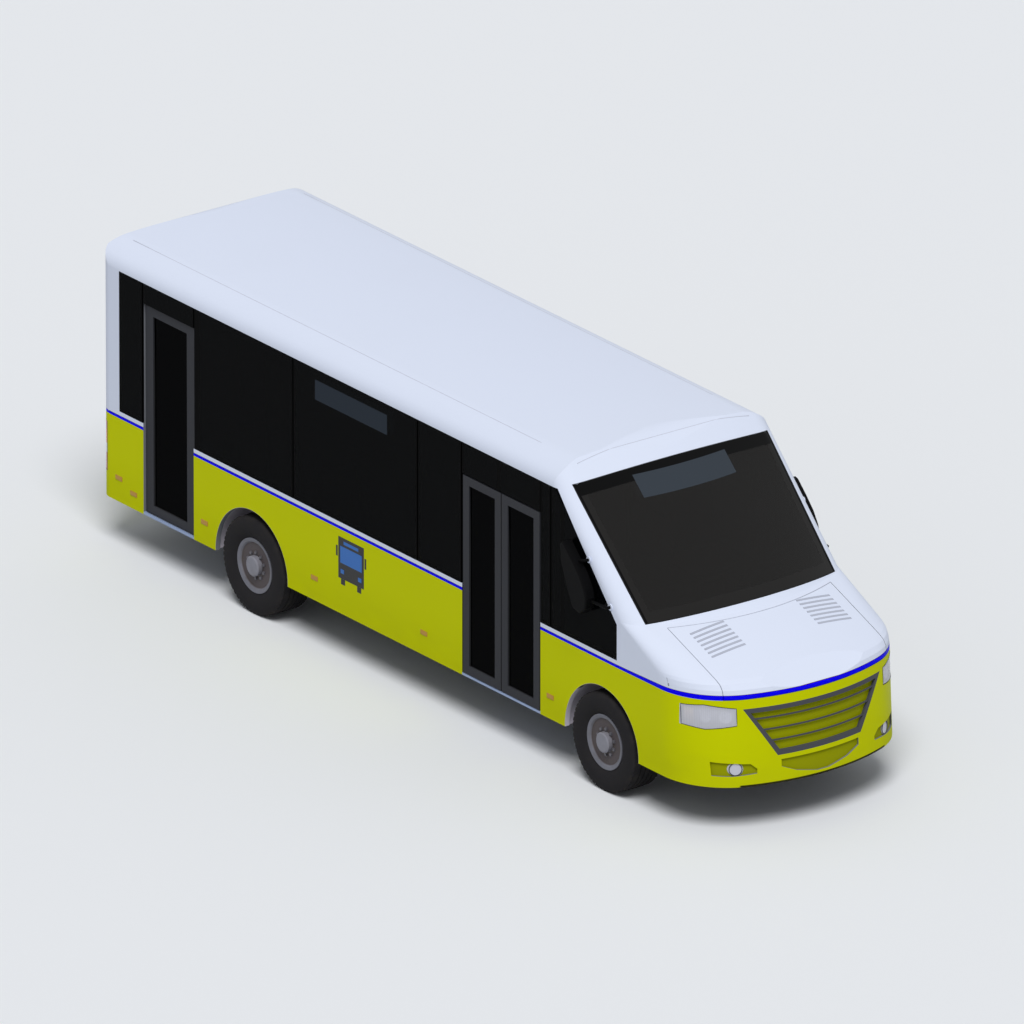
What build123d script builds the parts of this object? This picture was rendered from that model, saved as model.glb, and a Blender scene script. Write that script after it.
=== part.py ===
"""A city minibus: bonneted nose, two passenger doors on the right, a driver's door on the left.

Millimetres. +X forward, +Y to the left, +Z up. The origin is on the ground under the middle of the
overall length and width. Each piece is written to parts/NODE.step.
"""

import math
import os

from build123d import *

os.makedirs("parts", exist_ok=True)

# ---------------------------------------------------------------- driving dimensions
LENGTH = 9180.0  # tail to the keel of the nose
WIDTH = 2360.0  # over the side walls, without mirrors
WHEELBASE = 5200.0
FRONT_OVERHANG = 1690.0
SKIRT_Z = 445.0  # lower edge of the side walls
WAIST_Z = 1258.0  # joint between the lower panels and the bonnet line
BELT_Z = 1320.0  # lower edge of the glass band
GLASS_TOP_Z = 2670.0
EAVES_Z = GLASS_TOP_Z + 10.0  # joint between the side walls and the roof
WALL = 50.0  # side wall, roof and rear wall thickness
GLASS = 10.0  # glass thickness, set flush in a rebate of the same depth
REAR_CORNER_R = 150.0
SHUT_GAP = 6.0  # gap round a lid
DOOR_GAP = 14.0  # gap round a door leaf
SEAT_GAP = 0.3  # running or seating clearance between curved faces

# roof section: (radius, angle at which its arc ends, from the horizontal), from the shoulder upwards
SHOULDER_Z = GLASS_TOP_Z
ROOF_ARCS = ((160.0, 50.0), (450.0, 84.0))
ROOF_TAIL_R = 180.0
ROOF_BROW_R = 450.0

# the four ends and the two axles
NOSE_X = LENGTH / 2
TAIL_X = -LENGTH / 2
HALF = WIDTH / 2
FRONT_AXLE_X = NOSE_X - FRONT_OVERHANG
REAR_AXLE_X = FRONT_AXLE_X - WHEELBASE
SPREAD = WIDTH / 2360.0  # the nose's details keep their share of the width

# outline of the nose at rising heights: (height, keel behind the nose tip, front radius, corner radius)
NOSE_SECTIONS = (
    (0.0, 0.0, 2050.0, 700.0),
    (SKIRT_Z, 0.0, 2050.0, 700.0),
    (1290.0, 46.0, 2050.0, 700.0),
    (1345.0, 62.0, 2060.0, 690.0),
    (1390.0, 104.0, 2075.0, 655.0),
    (1418.0, 166.0, 2100.0, 610.0),
    (1704.0, 965.0, 2290.0, 245.0),
    (GLASS_TOP_Z + 290.0, 2387.0, 5400.0, 225.0),
)
FASCIA_SECTIONS = NOSE_SECTIONS[1:3]
SCUTTLE = NOSE_SECTIONS[6]  # the section at the foot of the windscreen
SCUTTLE_STRIP = 45.0  # panel between the windscreen and the bonnet

# windscreen, seen from the front: half widths and heights of its corners, its sill and its crown
SCREEN_FOOT = (HALF - 135.0, 1712.0)
SCREEN_HEAD = (HALF - 105.0, GLASS_TOP_Z + 42.0)
SCREEN_SILL_Z = 1762.0
SCREEN_CROWN_Z = GLASS_TOP_Z + 98.0
SCREEN_FLANGE = 55.0

# axles and wheels
TYRE_R = 464.0
TYRE_WIDTH = 350.0
BEAD_R = 237.0
RIM_R = 257.0
RIM_WALL = 12.0
RIM_HALF = 150.0
RIM_LIP = 12.0
DISC_Y = (112.0, 128.0)
HUB_R = 95.0
HUB_FACE = 178.0
HUB_BACK = 10.0
BEARING_R = 35.0
RUNNING_FIT = 0.1
WHEEL_INSET = 5.0  # tyre's outer face inside the side wall's face
WHEEL_Y = HALF - WHEEL_INSET - TYRE_WIDTH / 2
ARCH_R = 540.0
LINER_R = 575.0
LINER_T = 15.0
FRONT_LINER_Y = WHEEL_Y - 445.0
REAR_LINER_Y = WHEEL_Y - 230.0
KINGPIN_OFFSET = 75.0
KINGPIN_Y = WHEEL_Y - KINGPIN_OFFSET
KINGPIN_R = 18.0
BOSS_R = 42.0

# floor and chassis
FLOOR_Z = (500.0, 560.0)
RAIL_Y = (WHEEL_Y - 600.0, WHEEL_Y - 540.0)
RAIL_Z = (420.0, 500.0)
CROSS_Z = 476.0
CROSS_W = 60.0
BEAM_Z = (330.0, 390.0)
REAR_BEAM_R = 50.0
FINAL_DRIVE_R = 130.0
AXLE_W = 90.0
SPRING_HALF = 550.0
SPRING_T = 15.0

# stretches of the sides that doors and panes share out
REAR_WALL_X = TAIL_X + REAR_CORNER_R + 8
REAR_BAY = (REAR_WALL_X, REAR_AXLE_X - ARCH_R)
MIDDLE_BAY = (REAR_AXLE_X, FRONT_AXLE_X)


def along(stretch, share):
    """The place at a share of a stretch."""
    return stretch[0] + share * (stretch[1] - stretch[0])


# doors: rear jamb X, front jamb X, lintel height
FRONT_DOOR = (FRONT_AXLE_X - 2060.0, FRONT_AXLE_X - 903.0, 2375.0)
REAR_DOOR = (along(REAR_BAY, 0.318), along(REAR_BAY, 0.794), 2475.0)
DRIVER_DOOR = (FRONT_AXLE_X - 1510.0, FRONT_AXLE_X - 630.0, 2410.0)
SILL_TOP = 468.0
LEAF_T = 40.0
LEAF_GLASS_T = 8.0
PIVOT_R = 6.0
PIVOT_INSET = (15.0, 18.0)  # from the leaf's edge and from its outer face
PIVOT_REACH = 20.0
FRONT_STILE = 88.0
REAR_STILE = 112.0
DOOR_RAIL = 82.0
REAR_LEAF_INSET = 20.0
DOOR_WELL = 90.0  # from the side wall's face to the floor's edge in a doorway
RISER_T = 25.0

# panes of the glass band: (rear X, front X), and the dividers between them
BAND_REAR_X = along(REAR_BAY, 0.091)
PANE_GAP = 16.0
LEFT_REAR_DIVIDER = along(REAR_BAY, 0.835)
DIVIDERS = (along(MIDDLE_BAY, 0.1202), along(MIDDLE_BAY, 0.4769))


def between(low, high):
    """A pane between two dividers' centres."""
    return (low + PANE_GAP / 2, high - PANE_GAP / 2)


RIGHT_PANES = (
    (BAND_REAR_X, REAR_DOOR[0] - PANE_GAP),
    (REAR_DOOR[1] + PANE_GAP, DIVIDERS[0] - PANE_GAP / 2),
    between(*DIVIDERS),
    (DIVIDERS[1] + PANE_GAP / 2, FRONT_DOOR[0] - PANE_GAP),
)
LEFT_PANES = (
    (BAND_REAR_X, LEFT_REAR_DIVIDER - PANE_GAP / 2),
    between(LEFT_REAR_DIVIDER, DIVIDERS[0]),
    between(*DIVIDERS),
    (DIVIDERS[1] + PANE_GAP / 2, DRIVER_DOOR[0] - PANE_GAP),
)
PANE_FLANGE = 45.0
QUARTER_FRONT_X = FRONT_AXLE_X + 220.0
QUARTER_KNEE_Z = 1660.0
QUARTER_HEAD_X = FRONT_AXLE_X - 660.0
QUARTER_REAR_X = {-1: FRONT_AXLE_X - 742.0, 1: FRONT_AXLE_X - 570.0}
STRIP_PANE = (FRONT_DOOR[1] + PANE_GAP / 2, QUARTER_REAR_X[-1] - PANE_GAP)

# front fascia, seen from the front: half width and height of each corner
GRILLE_TOP = (757.0, 1170.0)
GRILLE_FOOT = (458.0, 702.0)
GRILLE_BORDER = 44.0
GRILLE_BARS_Z = (1064.0, 955.0, 846.0)
GRILLE_BAR_H = 12.0
GRILLE_DEPTH = 30.0
BAR_INSET = 5.0
BAR_T = 12.0
BUFFER_Y = 500.0  # rubber buffers under the bonnet's front edge
BUFFER_R = 12.0
INTAKE = ((425.0, 660.0), (425.0, 592.0), (280.0, 532.0), (60.0, 486.0))
FOG_POCKET = ((1005.0, 682.0), (705.0, 654.0), (645.0, 600.0), (648.0, 560.0), (860.0, 547.0), (998.0, 552.0))
FOG_LAMP = (825.0, 612.0, 60.0)  # half track, height, radius
HEADLAMP = ((808.0, 1180.0), (1030.0, 1213.0), (1210.0, 1178.0), (1210.0, 1010.0), (1030.0, 985.0), (808.0, 1020.0))
HEADLAMP_REAR = 600.0  # behind the nose tip
HEADLAMP_DEPTH = 30.0
FASCIA_REAR_X = FRONT_AXLE_X + 580.0
POCKET_DEPTH = 18.0

# bonnet
BONNET_HALF = HALF - 280.0
BONNET_FOOT_Z = WAIST_Z + SHUT_GAP
LOUVRE_Y = 586.0
LOUVRE_LENGTH = 372.0
LOUVRE_COUNT = 7
LOUVRE_PITCH = 52.5
LOUVRE_WIDTH = 14.0
LOUVRE_MID_X = NOSE_X - 777.0

# ---------------------------------------------------------------- limits of the model
HIGH = 4000.0  # taller than anything
LONG = 12000.0  # longer than anything
SIDES = {"right": -1, "left": 1}


def arc_centres():
    """Centres of the roof section's arcs, and the crown radius that closes it, in (Y, Z)."""
    first, second = ROOF_ARCS
    c1 = (HALF - first[0], SHOULDER_Z)
    a1, a2 = math.radians(first[1]), math.radians(second[1])
    end1 = (c1[0] + first[0] * math.cos(a1), c1[1] + first[0] * math.sin(a1))
    c2 = (end1[0] - second[0] * math.cos(a1), end1[1] - second[0] * math.sin(a1))
    end2 = (c2[0] + second[0] * math.cos(a2), c2[1] + second[0] * math.sin(a2))
    crown = end2[0] / math.cos(a2)
    return c1, c2, crown, end2[1] - crown * math.sin(a2)


ARC1, ARC2, CROWN_R, CROWN_Z = arc_centres()
ROOF_TOP = CROWN_Z + CROWN_R


# ---------------------------------------------------------------- plain helpers
def block(x, y, z):
    """A box from three (low, high) pairs."""
    size = [b - a for a, b in (x, y, z)]
    mid = [(a + b) / 2 for a, b in (x, y, z)]
    return Pos(*mid) * Box(*size)


def on_side(side, near, far):
    """A (low, high) pair in Y for distances from the centre plane on one side."""
    return (near, far) if side > 0 else (-far, -near)


def prism_y(points, y0, y1):
    """A polygon of (X, Z) points, extruded from y0 to y1."""
    face = make_face(Polyline(*[(x, 0, z) for x, z in points], close=True))
    return Pos(0, y0, 0) * extrude(face, y1 - y0, dir=(0, 1, 0))


def prism_x(points, x0, x1):
    """A polygon of (Y, Z) points, extruded from x0 to x1."""
    face = make_face(Polyline(*[(0, y, z) for y, z in points], close=True))
    return Pos(x0, 0, 0) * extrude(face, x1 - x0, dir=(1, 0, 0))


def rod(radius, start, end):
    """A round bar between two points."""
    a, b = Vector(*start), Vector(*end)
    plane = Plane(origin=a, z_dir=(b - a))
    return plane * Cylinder(radius, (b - a).length, align=(Align.CENTER, Align.CENTER, Align.MIN))


def join(parts):
    """Fuses a list of solids."""
    parts = list(parts)
    return parts[0].fuse(*parts[1:]) if len(parts) > 1 else parts[0]


def group(parts):
    """Several separate solids as one node."""
    return Compound(children=[solid for part in parts for solid in part.solids()])


def mirror_y(part):
    """The same piece on the other side."""
    return mirror(part, about=Plane.XZ)


# ---------------------------------------------------------------- the body's outer form
def outline(height, back, front_r, corner_r, inset=0.0):
    """The body's outline at one height, as a face: rear wall, side walls, corner arcs and nose arc."""
    tip = NOSE_X - back - inset
    front_r, corner_r, rear_r = front_r - inset, corner_r - inset, REAR_CORNER_R - inset
    half, tail = HALF - inset, TAIL_X + inset
    nose_c = tip - front_r
    reach = math.sqrt((front_r - corner_r) ** 2 - (half - corner_r) ** 2)
    corner_x, corner_y = nose_c + reach, half - corner_r
    angle = math.atan2(corner_y, reach)
    meet = (nose_c + front_r * math.cos(angle), front_r * math.sin(angle))
    mid_angle = (angle + math.pi / 2) / 2
    bend = (corner_x + corner_r * math.cos(mid_angle), corner_y + corner_r * math.sin(mid_angle))
    diagonal = rear_r * (1 - math.sqrt(0.5))

    def at(x, y):
        return (x, y, height)

    edges = [
        Line(at(tail, rear_r - half), at(tail, half - rear_r)),
        ThreePointArc(
            at(tail, half - rear_r), at(tail + diagonal, half - diagonal), at(tail + rear_r, half)
        ),
        Line(at(tail + rear_r, half), at(corner_x, half)),
        ThreePointArc(at(corner_x, half), at(*bend), at(*meet)),
        ThreePointArc(at(*meet), at(tip, 0), at(meet[0], -meet[1])),
        ThreePointArc(at(meet[0], -meet[1]), at(bend[0], -bend[1]), at(corner_x, -half)),
        Line(at(corner_x, -half), at(tail + rear_r, -half)),
        ThreePointArc(
            at(tail + rear_r, -half), at(tail + diagonal, diagonal - half), at(tail, rear_r - half)
        ),
    ]
    return make_face(edges)


def plan_prism(inset, low, high, section=NOSE_SECTIONS[0]):
    """The outline of one section, extruded from low to high."""
    return extrude(outline(low, *section[1:], inset=inset), high - low, dir=(0, 0, 1))


def nose_skin(inset, depth):
    """The leaning lower nose between two depths under its surface."""
    outer, inner = (
        loft([outline(*section, inset=i) for section in FASCIA_SECTIONS], ruled=True)
        for i in (inset, inset + depth)
    )
    return outer - inner


def roof_section(inset):
    """The body's cross-section as a long prism: straight sides and three arcs over the roof."""
    half, flat = HALF - inset, -HIGH
    r1, r2, r3 = ROOF_ARCS[0][0] - inset, ROOF_ARCS[1][0] - inset, CROWN_R - inset
    a1, a2 = (math.radians(arc[1]) for arc in ROOF_ARCS)

    def on_arc(centre, radius, angle, sign):
        return (0, sign * (centre[0] + radius * math.cos(angle)), centre[1] + radius * math.sin(angle))

    def half_arcs(sign):
        return (
            ThreePointArc(*[on_arc(ARC1, r1, a, sign) for a in (0, a1 / 2, a1)]),
            ThreePointArc(*[on_arc(ARC2, r2, a, sign) for a in (a1, (a1 + a2) / 2, a2)]),
        )

    crown = ThreePointArc(
        on_arc((0, CROWN_Z), r3, a2, 1), (0, 0, CROWN_Z + r3), on_arc((0, CROWN_Z), r3, a2, -1)
    )
    edges = [
        Line((0, half, flat), (0, half, SHOULDER_Z)),
        *half_arcs(1),
        crown,
        *half_arcs(-1),
        Line((0, -half, SHOULDER_Z), (0, -half, flat)),
        Line((0, -half, flat), (0, half, flat)),
    ]
    return Pos(-LONG / 2, 0, 0) * extrude(make_face(edges), LONG, dir=(1, 0, 0))


def side_profile(inset):
    """The body's side view as a wide prism, with the tail and brow of the roof rounded."""
    top, tail = ROOF_TOP - inset, TAIL_X + inset
    tail_r, brow_r = ROOF_TAIL_R - inset, ROOF_BROW_R - inset
    foot, head = SCUTTLE, NOSE_SECTIONS[-1]
    slope = math.atan2(head[0] - foot[0], head[1] - foot[1])
    meet_x = NOSE_X - foot[1] - (ROOF_TOP - foot[0]) / math.tan(slope)
    start_x = meet_x - ROOF_BROW_R * math.tan(slope / 2)
    centre = (start_x, ROOF_TOP - ROOF_BROW_R)

    def brow(angle):
        return (centre[0] + brow_r * math.sin(angle), 0, centre[1] + brow_r * math.cos(angle))

    diagonal = tail_r * (1 - math.sqrt(0.5))
    fall = math.tan(math.radians(35))
    end = brow(slope)
    far_x = NOSE_X + 500
    edges = [
        Line((tail, 0, -HIGH), (tail, 0, top - tail_r)),
        ThreePointArc(
            (tail, 0, top - tail_r), (tail + diagonal, 0, top - diagonal), (tail + tail_r, 0, top)
        ),
        Line((tail + tail_r, 0, top), (start_x, 0, top)),
        ThreePointArc((start_x, 0, top), brow(slope / 2), end),
        Line(end, (far_x, 0, end[2] - fall * (far_x - end[0]))),
        Line((far_x, 0, end[2] - fall * (far_x - end[0])), (far_x, 0, -HIGH)),
        Line((far_x, 0, -HIGH), (tail, 0, -HIGH)),
    ]
    return Pos(0, -HIGH / 2, 0) * extrude(make_face(edges), HIGH, dir=(0, 1, 0))


def hull(inset):
    """The whole body as a solid, its surface moved inwards by inset."""
    faces = [outline(*section, inset=inset) for section in NOSE_SECTIONS]
    layers = [loft([low, high], ruled=True) for low, high in zip(faces, faces[1:])]
    return join(layers) & roof_section(inset) & side_profile(inset)


OUTER = hull(0)
GLAZING_BED = hull(GLASS)
INNER = hull(WALL)
SHELL = OUTER - INNER
ROOM = Pos(0, 0, -SEAT_GAP) * INNER  # what stands under the roof ends just short of it


def scuttle_prism(grow):
    """Everything behind a line in front of the windscreen's foot, seen from above."""
    _, back, front_r, corner_r = SCUTTLE
    return plan_prism(0, BELT_Z, HIGH, (0, back - grow, front_r + grow, corner_r + grow))


# ---------------------------------------------------------------- glass band
def arch(axle_x, side):
    """The round cut of one wheel arch through the side wall."""
    y = on_side(side, HALF - 2 * WALL, HALF + WALL)
    return Pos(axle_x, (y[0] + y[1]) / 2, TYRE_R) * Rot(90, 0, 0) * Cylinder(ARCH_R, y[1] - y[0])


def pane_outline(x0, x1, shrink=0.0):
    """Corners of a rectangular pane in (X, Z)."""
    low, high = BELT_Z + shrink, GLASS_TOP_Z - shrink
    return [(x0 + shrink, low), (x1 - shrink, low), (x1 - shrink, high), (x0 + shrink, high)]


def quarter_outline(side, shrink=0.0):
    """Corners of the quarter pane behind the windscreen pillar, in (X, Z)."""
    rear, low, high = QUARTER_REAR_X[side] + shrink, BELT_Z + shrink, GLASS_TOP_Z - shrink
    front, knee, head = QUARTER_FRONT_X - shrink, QUARTER_KNEE_Z - shrink, QUARTER_HEAD_X - shrink
    lower = [(rear, low), (front, low), (front, knee)]
    if rear < head:
        return lower + [(head, high), (rear, high)]
    return lower + [(rear, knee + (high - knee) * (front - rear) / (front - head))]


def panes(side):
    """Outlines of every fixed pane on one side, with their flange widths."""
    table = RIGHT_PANES if side < 0 else LEFT_PANES
    return [pane_outline(*pair) for pair in table] + [quarter_outline(side)]


def headers(side):
    """Outlines of the blind glass over the doors and beside the front door, in (X, Z)."""
    doors = (REAR_DOOR, FRONT_DOOR) if side < 0 else (DRIVER_DOOR,)
    over = []
    for x0, x1, lintel in doors:
        over.append([(x0, lintel), (x1, lintel), (x1, GLASS_TOP_Z), (x0, GLASS_TOP_Z)])
    if side < 0:
        over.append(pane_outline(*STRIP_PANE))
    return over


def band(side):
    """The glazing rebate: the whole glass band of one side, as deep as the glass."""
    y = on_side(side, HALF - GLASS, HALF + WALL)
    quarter = prism_y(quarter_outline(side), *y)
    front = QUARTER_REAR_X[side] + 10
    return quarter + block((BAND_REAR_X, front), y, (BELT_Z, GLASS_TOP_Z))


def window_holes(side):
    """The openings behind the panes, each smaller than its pane by the flange."""
    y = on_side(side, HALF - 2 * WALL, HALF + WALL)
    table = RIGHT_PANES if side < 0 else LEFT_PANES
    holes = [prism_y(pane_outline(*pair, shrink=PANE_FLANGE), *y) for pair in table]
    return join(holes + [prism_y(quarter_outline(side, PANE_FLANGE), *y)])


def side_glass(side):
    """All fixed side panes of one side, separate solids."""
    y = on_side(side, HALF - GLASS, HALF)
    *rear, quarter = panes(side)
    *over, front = headers(side)
    deep = on_side(side, HALF - GLASS, HALF + WALL)
    trimmed = [prism_y(points, *deep) & OUTER for points in (front, quarter)]
    return group([prism_y(points, *y) for points in rear + over] + trimmed)


# ---------------------------------------------------------------- body panels
def side_cut(side):
    """What every side panel loses: the band, the windows and both wheel arches."""
    return join([band(side), window_holes(side), arch(FRONT_AXLE_X, side), arch(REAR_AXLE_X, side)])


def side_stretch(side, cut, x0, x1, low=SKIRT_Z, high=EAVES_Z):
    """A stretch of the side wall between two stations."""
    return (SHELL & block((x0, x1), on_side(side, HALF - 2 * WALL, HALF + WALL), (low, high))) - cut


def side_wall(side, cut):
    """The whole side wall from the tail to the last doorway's front jamb, with its doorways."""
    doors = (REAR_DOOR, FRONT_DOOR) if side < 0 else (DRIVER_DOOR,)
    wall = side_stretch(side, cut, REAR_WALL_X, doors[-1][1])
    for x0, x1, lintel in doors:
        wall -= block((x0, x1 + (x1 == doors[-1][1])), on_side(side, HALF - 2 * WALL, HALF + 1), (0, lintel))
    for name in PIVOTS:
        wall -= pins(name, RUNNING_FIT)
    return wall


def front_side(side, rear_x, cut):
    """Side panel ahead of the front door, with the wing that runs round to the bonnet."""
    wall_y = on_side(side, HALF - 2 * WALL, HALF + WALL)
    wing_y = on_side(side, BONNET_HALF + SHUT_GAP, HALF + WALL)
    lower = SHELL & block((rear_x, FASCIA_REAR_X), wall_y, (SKIRT_Z, BELT_Z))
    wing = (SHELL & block((FASCIA_REAR_X - 400, NOSE_X), wing_y, (WAIST_Z, HIGH))) - scuttle_prism(
        SCUTTLE_STRIP
    )
    return (lower + wing) - cut


def screen_outline(shrink=0.0):
    """The windscreen's shape seen from the front, as a face in the YZ plane."""
    foot, head = SCREEN_FOOT, SCREEN_HEAD
    low = (foot[0] - shrink, foot[1] + shrink)
    high = (head[0] - shrink, head[1] - shrink)
    edges = [
        ThreePointArc((0, -low[0], low[1]), (0, 0, SCREEN_SILL_Z + shrink), (0, low[0], low[1])),
        Line((0, low[0], low[1]), (0, high[0], high[1])),
        ThreePointArc((0, high[0], high[1]), (0, 0, SCREEN_CROWN_Z - shrink), (0, -high[0], high[1])),
        Line((0, -high[0], high[1]), (0, -low[0], low[1])),
    ]
    return make_face(edges)


def screen_prism(shrink=0.0):
    """The windscreen's shape, swept forward through the sloping front."""
    rear_x = QUARTER_REAR_X[-1]
    return Pos(rear_x, 0, 0) * extrude(screen_outline(shrink), NOSE_X - rear_x, dir=(1, 0, 0))


def screen_frame(cuts):
    """Windscreen pillars and scuttle, with the quarter windows' frames."""
    region = block((FRONT_DOOR[1], NOSE_X), (-HALF - WALL, HALF + WALL), (BELT_Z, EAVES_Z))
    frame = (SHELL & region) & scuttle_prism(SCUTTLE_STRIP)
    back = block((DRIVER_DOOR[1] - 900, DRIVER_DOOR[1]), (0, HALF + WALL), (BELT_Z, EAVES_Z))
    rebate = screen_prism() - GLAZING_BED
    return frame - back - rebate - screen_prism(SCREEN_FLANGE) - cuts[-1] - cuts[1]


def roof_shell():
    """The roof down to the eaves, with the header over the windscreen."""
    region = block((-LONG / 2, LONG / 2), (-HALF - WALL, HALF + WALL), (EAVES_Z, HIGH))
    rebate = screen_prism() - GLAZING_BED
    return (SHELL & region) - rebate - screen_prism(SCREEN_FLANGE)


def windscreen():
    """The curved windscreen, flush with the front."""
    return (OUTER & screen_prism()) - GLAZING_BED


# ---------------------------------------------------------------- rear wall
REAR_WINDOW = (HALF - 280.0, 1480.0, 2480.0)  # half width, sill and head
TAIL_LAMP = (HALF - 230.0, 690.0, 1165.0)  # half width of its inner edge, foot and head
TAIL_LAMP_WRAP = 0.75 * REAR_CORNER_R  # how far it runs forward round the corner
TAIL_LAMP_DEPTH = 25.0


def tail_lamp(side, depth):
    """A lamp that follows the rear corner, as deep as asked."""
    inner, foot, head = TAIL_LAMP
    place = block((TAIL_X, TAIL_X + TAIL_LAMP_WRAP), on_side(side, inner, HALF), (foot, head))
    return (place & plan_prism(0, foot, head)) - plan_prism(depth, foot, head)


def rear_wall():
    """The tail with both rear corners, its window opening and its lamp pockets."""
    half, low, high = REAR_WINDOW
    region = block((TAIL_X - 10, REAR_WALL_X), (-HALF - WALL, HALF + WALL), (SKIRT_Z, EAVES_Z))
    wall = SHELL & region
    wall -= block((TAIL_X - 10, TAIL_X + GLASS), (-half, half), (low, high))
    wall -= block(
        (TAIL_X - 10, TAIL_X + 2 * WALL),
        (-half + PANE_FLANGE, half - PANE_FLANGE),
        (low + PANE_FLANGE, high - PANE_FLANGE),
    )
    for side in (-1, 1):
        wall -= tail_lamp(side, TAIL_LAMP_DEPTH + SEAT_GAP)
    return wall


def tail_lamps():
    """Two upright lamp clusters that wrap round the rear corners."""
    return group(tail_lamp(side, TAIL_LAMP_DEPTH) for side in (-1, 1))


def window_glass():
    """Every fixed pane of the sides and the rear window, separate solids."""
    half, low, high = REAR_WINDOW
    rear = block((TAIL_X, TAIL_X + GLASS), (-half, half), (low, high))
    return group([side_glass(-1), side_glass(1), rear])


# ---------------------------------------------------------------- front fascia
def trapezoid(border=0.0):
    """The grille's outline, seen from the front."""
    (top_y, top_z), (foot_y, foot_z) = GRILLE_TOP, GRILLE_FOOT
    side = border * 1.5
    return [
        (-top_y + side, top_z - border),
        (top_y - side, top_z - border),
        (foot_y - border * 0.6, foot_z + border),
        (-foot_y + border * 0.6, foot_z + border),
    ]


def front_prism(points):
    """A shape seen from the front, drawn at the nominal width, as a prism through the nose."""
    return prism_x([(y * SPREAD, z) for y, z in points], FASCIA_REAR_X, NOSE_X + WALL)


def face_layer(inset, depth, points):
    """A piece of the nose between two depths under its surface, cut to a shape seen from the front."""
    return nose_skin(inset, depth) & front_prism(points)


def both(points):
    """A shape on the right and its mirror image on the left."""
    return [points, [(-y, z) for y, z in points]]


def headlamp(side, depth):
    """A headlamp that wraps round the corner of the nose."""
    lamp = face_layer(0, depth, [(side * y, z) for y, z in HEADLAMP])
    return lamp & block((NOSE_X - HEADLAMP_REAR, NOSE_X), on_side(side, 0, HALF + 10), (0, HIGH))


def fog_hole(side, inset, depth):
    """The round of a fog lamp between two depths under the surface."""
    y, z, radius = FOG_LAMP
    y *= side * SPREAD
    return nose_skin(inset, depth) & rod(radius, (FASCIA_REAR_X, y, z), (NOSE_X + WALL, y, z))


INTAKE_SHAPE = [(s * y, z) for s, rows in ((-1, INTAKE), (1, INTAKE[::-1])) for y, z in rows]


def buffer_x(y):
    """X of the middle of the fascia's top edge at one distance from the centre plane."""
    (z0, back0, *_), (z1, back1, front_r, _) = FASCIA_SECTIONS
    back = back0 + (back1 - back0) * (WAIST_Z - z0) / (z1 - z0)
    bed_r = front_r - WALL / 2
    return NOSE_X - back - WALL / 2 - bed_r + math.sqrt(bed_r**2 - y**2)


def fascia():
    """Nose panel below the bonnet line, with its grille, lamp and intake openings."""
    region = block((FASCIA_REAR_X, NOSE_X + 1), (-HALF, HALF), (SKIRT_Z, WAIST_Z))
    skin = nose_skin(0, WALL) & region
    skin -= face_layer(-1, GRILLE_DEPTH + 1, trapezoid())
    for shape in [INTAKE_SHAPE] + both(FOG_POCKET):
        skin -= face_layer(-1, POCKET_DEPTH + 1, shape)
    y = BUFFER_Y * SPREAD
    for side in (-1, 1):
        skin -= headlamp(side, HEADLAMP_DEPTH)
        skin -= fog_hole(side, POCKET_DEPTH - 8, WALL)
        foot = (buffer_x(y), side * y)
        skin += rod(BUFFER_R, (*foot, WAIST_Z - 5), (*foot, BONNET_FOOT_Z - SEAT_GAP))
    return skin


def grille():
    """The grille's frame and bars, one moulding seated in its pocket."""
    frame = face_layer(0, GRILLE_DEPTH, trapezoid()) - front_prism(trapezoid(GRILLE_BORDER))
    (top_y, top_z), (foot_y, foot_z) = GRILLE_TOP, GRILLE_FOOT
    bars = []
    for z in GRILLE_BARS_Z:
        reach = foot_y + (top_y - foot_y) * (z - foot_z) / (top_z - foot_z) - 20
        low, high = z - GRILLE_BAR_H / 2, z + GRILLE_BAR_H / 2
        shape = [(-reach, low), (reach, low), (reach, high), (-reach, high)]
        bars.append(face_layer(BAR_INSET, BAR_T, shape))
    return join([frame] + bars)


def fog_lamps():
    """Two round fog lamps in their pockets."""
    return group(fog_hole(side, POCKET_DEPTH - 8, 38) for side in (-1, 1))


def headlamps():
    """Both headlamps."""
    return group(headlamp(side, HEADLAMP_DEPTH) for side in (-1, 1))


# ---------------------------------------------------------------- bonnet
def bonnet():
    """The lid over the engine, with two banks of louvres."""
    region = block((FASCIA_REAR_X - 100, NOSE_X + 1), (-BONNET_HALF, BONNET_HALF), (BONNET_FOOT_Z, HIGH))
    lid = (SHELL & region) - scuttle_prism(SCUTTLE_STRIP + SHUT_GAP)
    first = LOUVRE_MID_X - LOUVRE_PITCH * (LOUVRE_COUNT - 1) / 2
    slots = []
    for side in (-1, 1):
        for i in range(LOUVRE_COUNT):
            x = first + i * LOUVRE_PITCH
            slots.append(
                block(
                    (x - LOUVRE_WIDTH / 2, x + LOUVRE_WIDTH / 2),
                    on_side(side, *(SPREAD * (LOUVRE_Y + s * LOUVRE_LENGTH / 2) for s in (-1, 1))),
                    (BELT_Z, HIGH),
                )
            )
    return lid - join(slots)


# ---------------------------------------------------------------- doors
def leaf_frame(x0, x1, low, high, outer_y, stile):
    """A right-hand door leaf's frame: stiles and rails round one tall pane."""
    y = (outer_y, outer_y + LEAF_T)
    hole = block((x0 + stile, x1 - stile), (y[0] - 1, y[1] + 1), (low + DOOR_RAIL, high - DOOR_RAIL))
    return block((x0, x1), y, (low, high)) - hole


def leaf_glass(x0, x1, low, high, outer_y, stile):
    """The pane that fills a door leaf's frame."""
    mid = outer_y + LEAF_T / 2
    return block(
        (x0 + stile, x1 - stile),
        (mid - LEAF_GLASS_T / 2, mid + LEAF_GLASS_T / 2),
        (low + DOOR_RAIL, high - DOOR_RAIL),
    )


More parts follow.
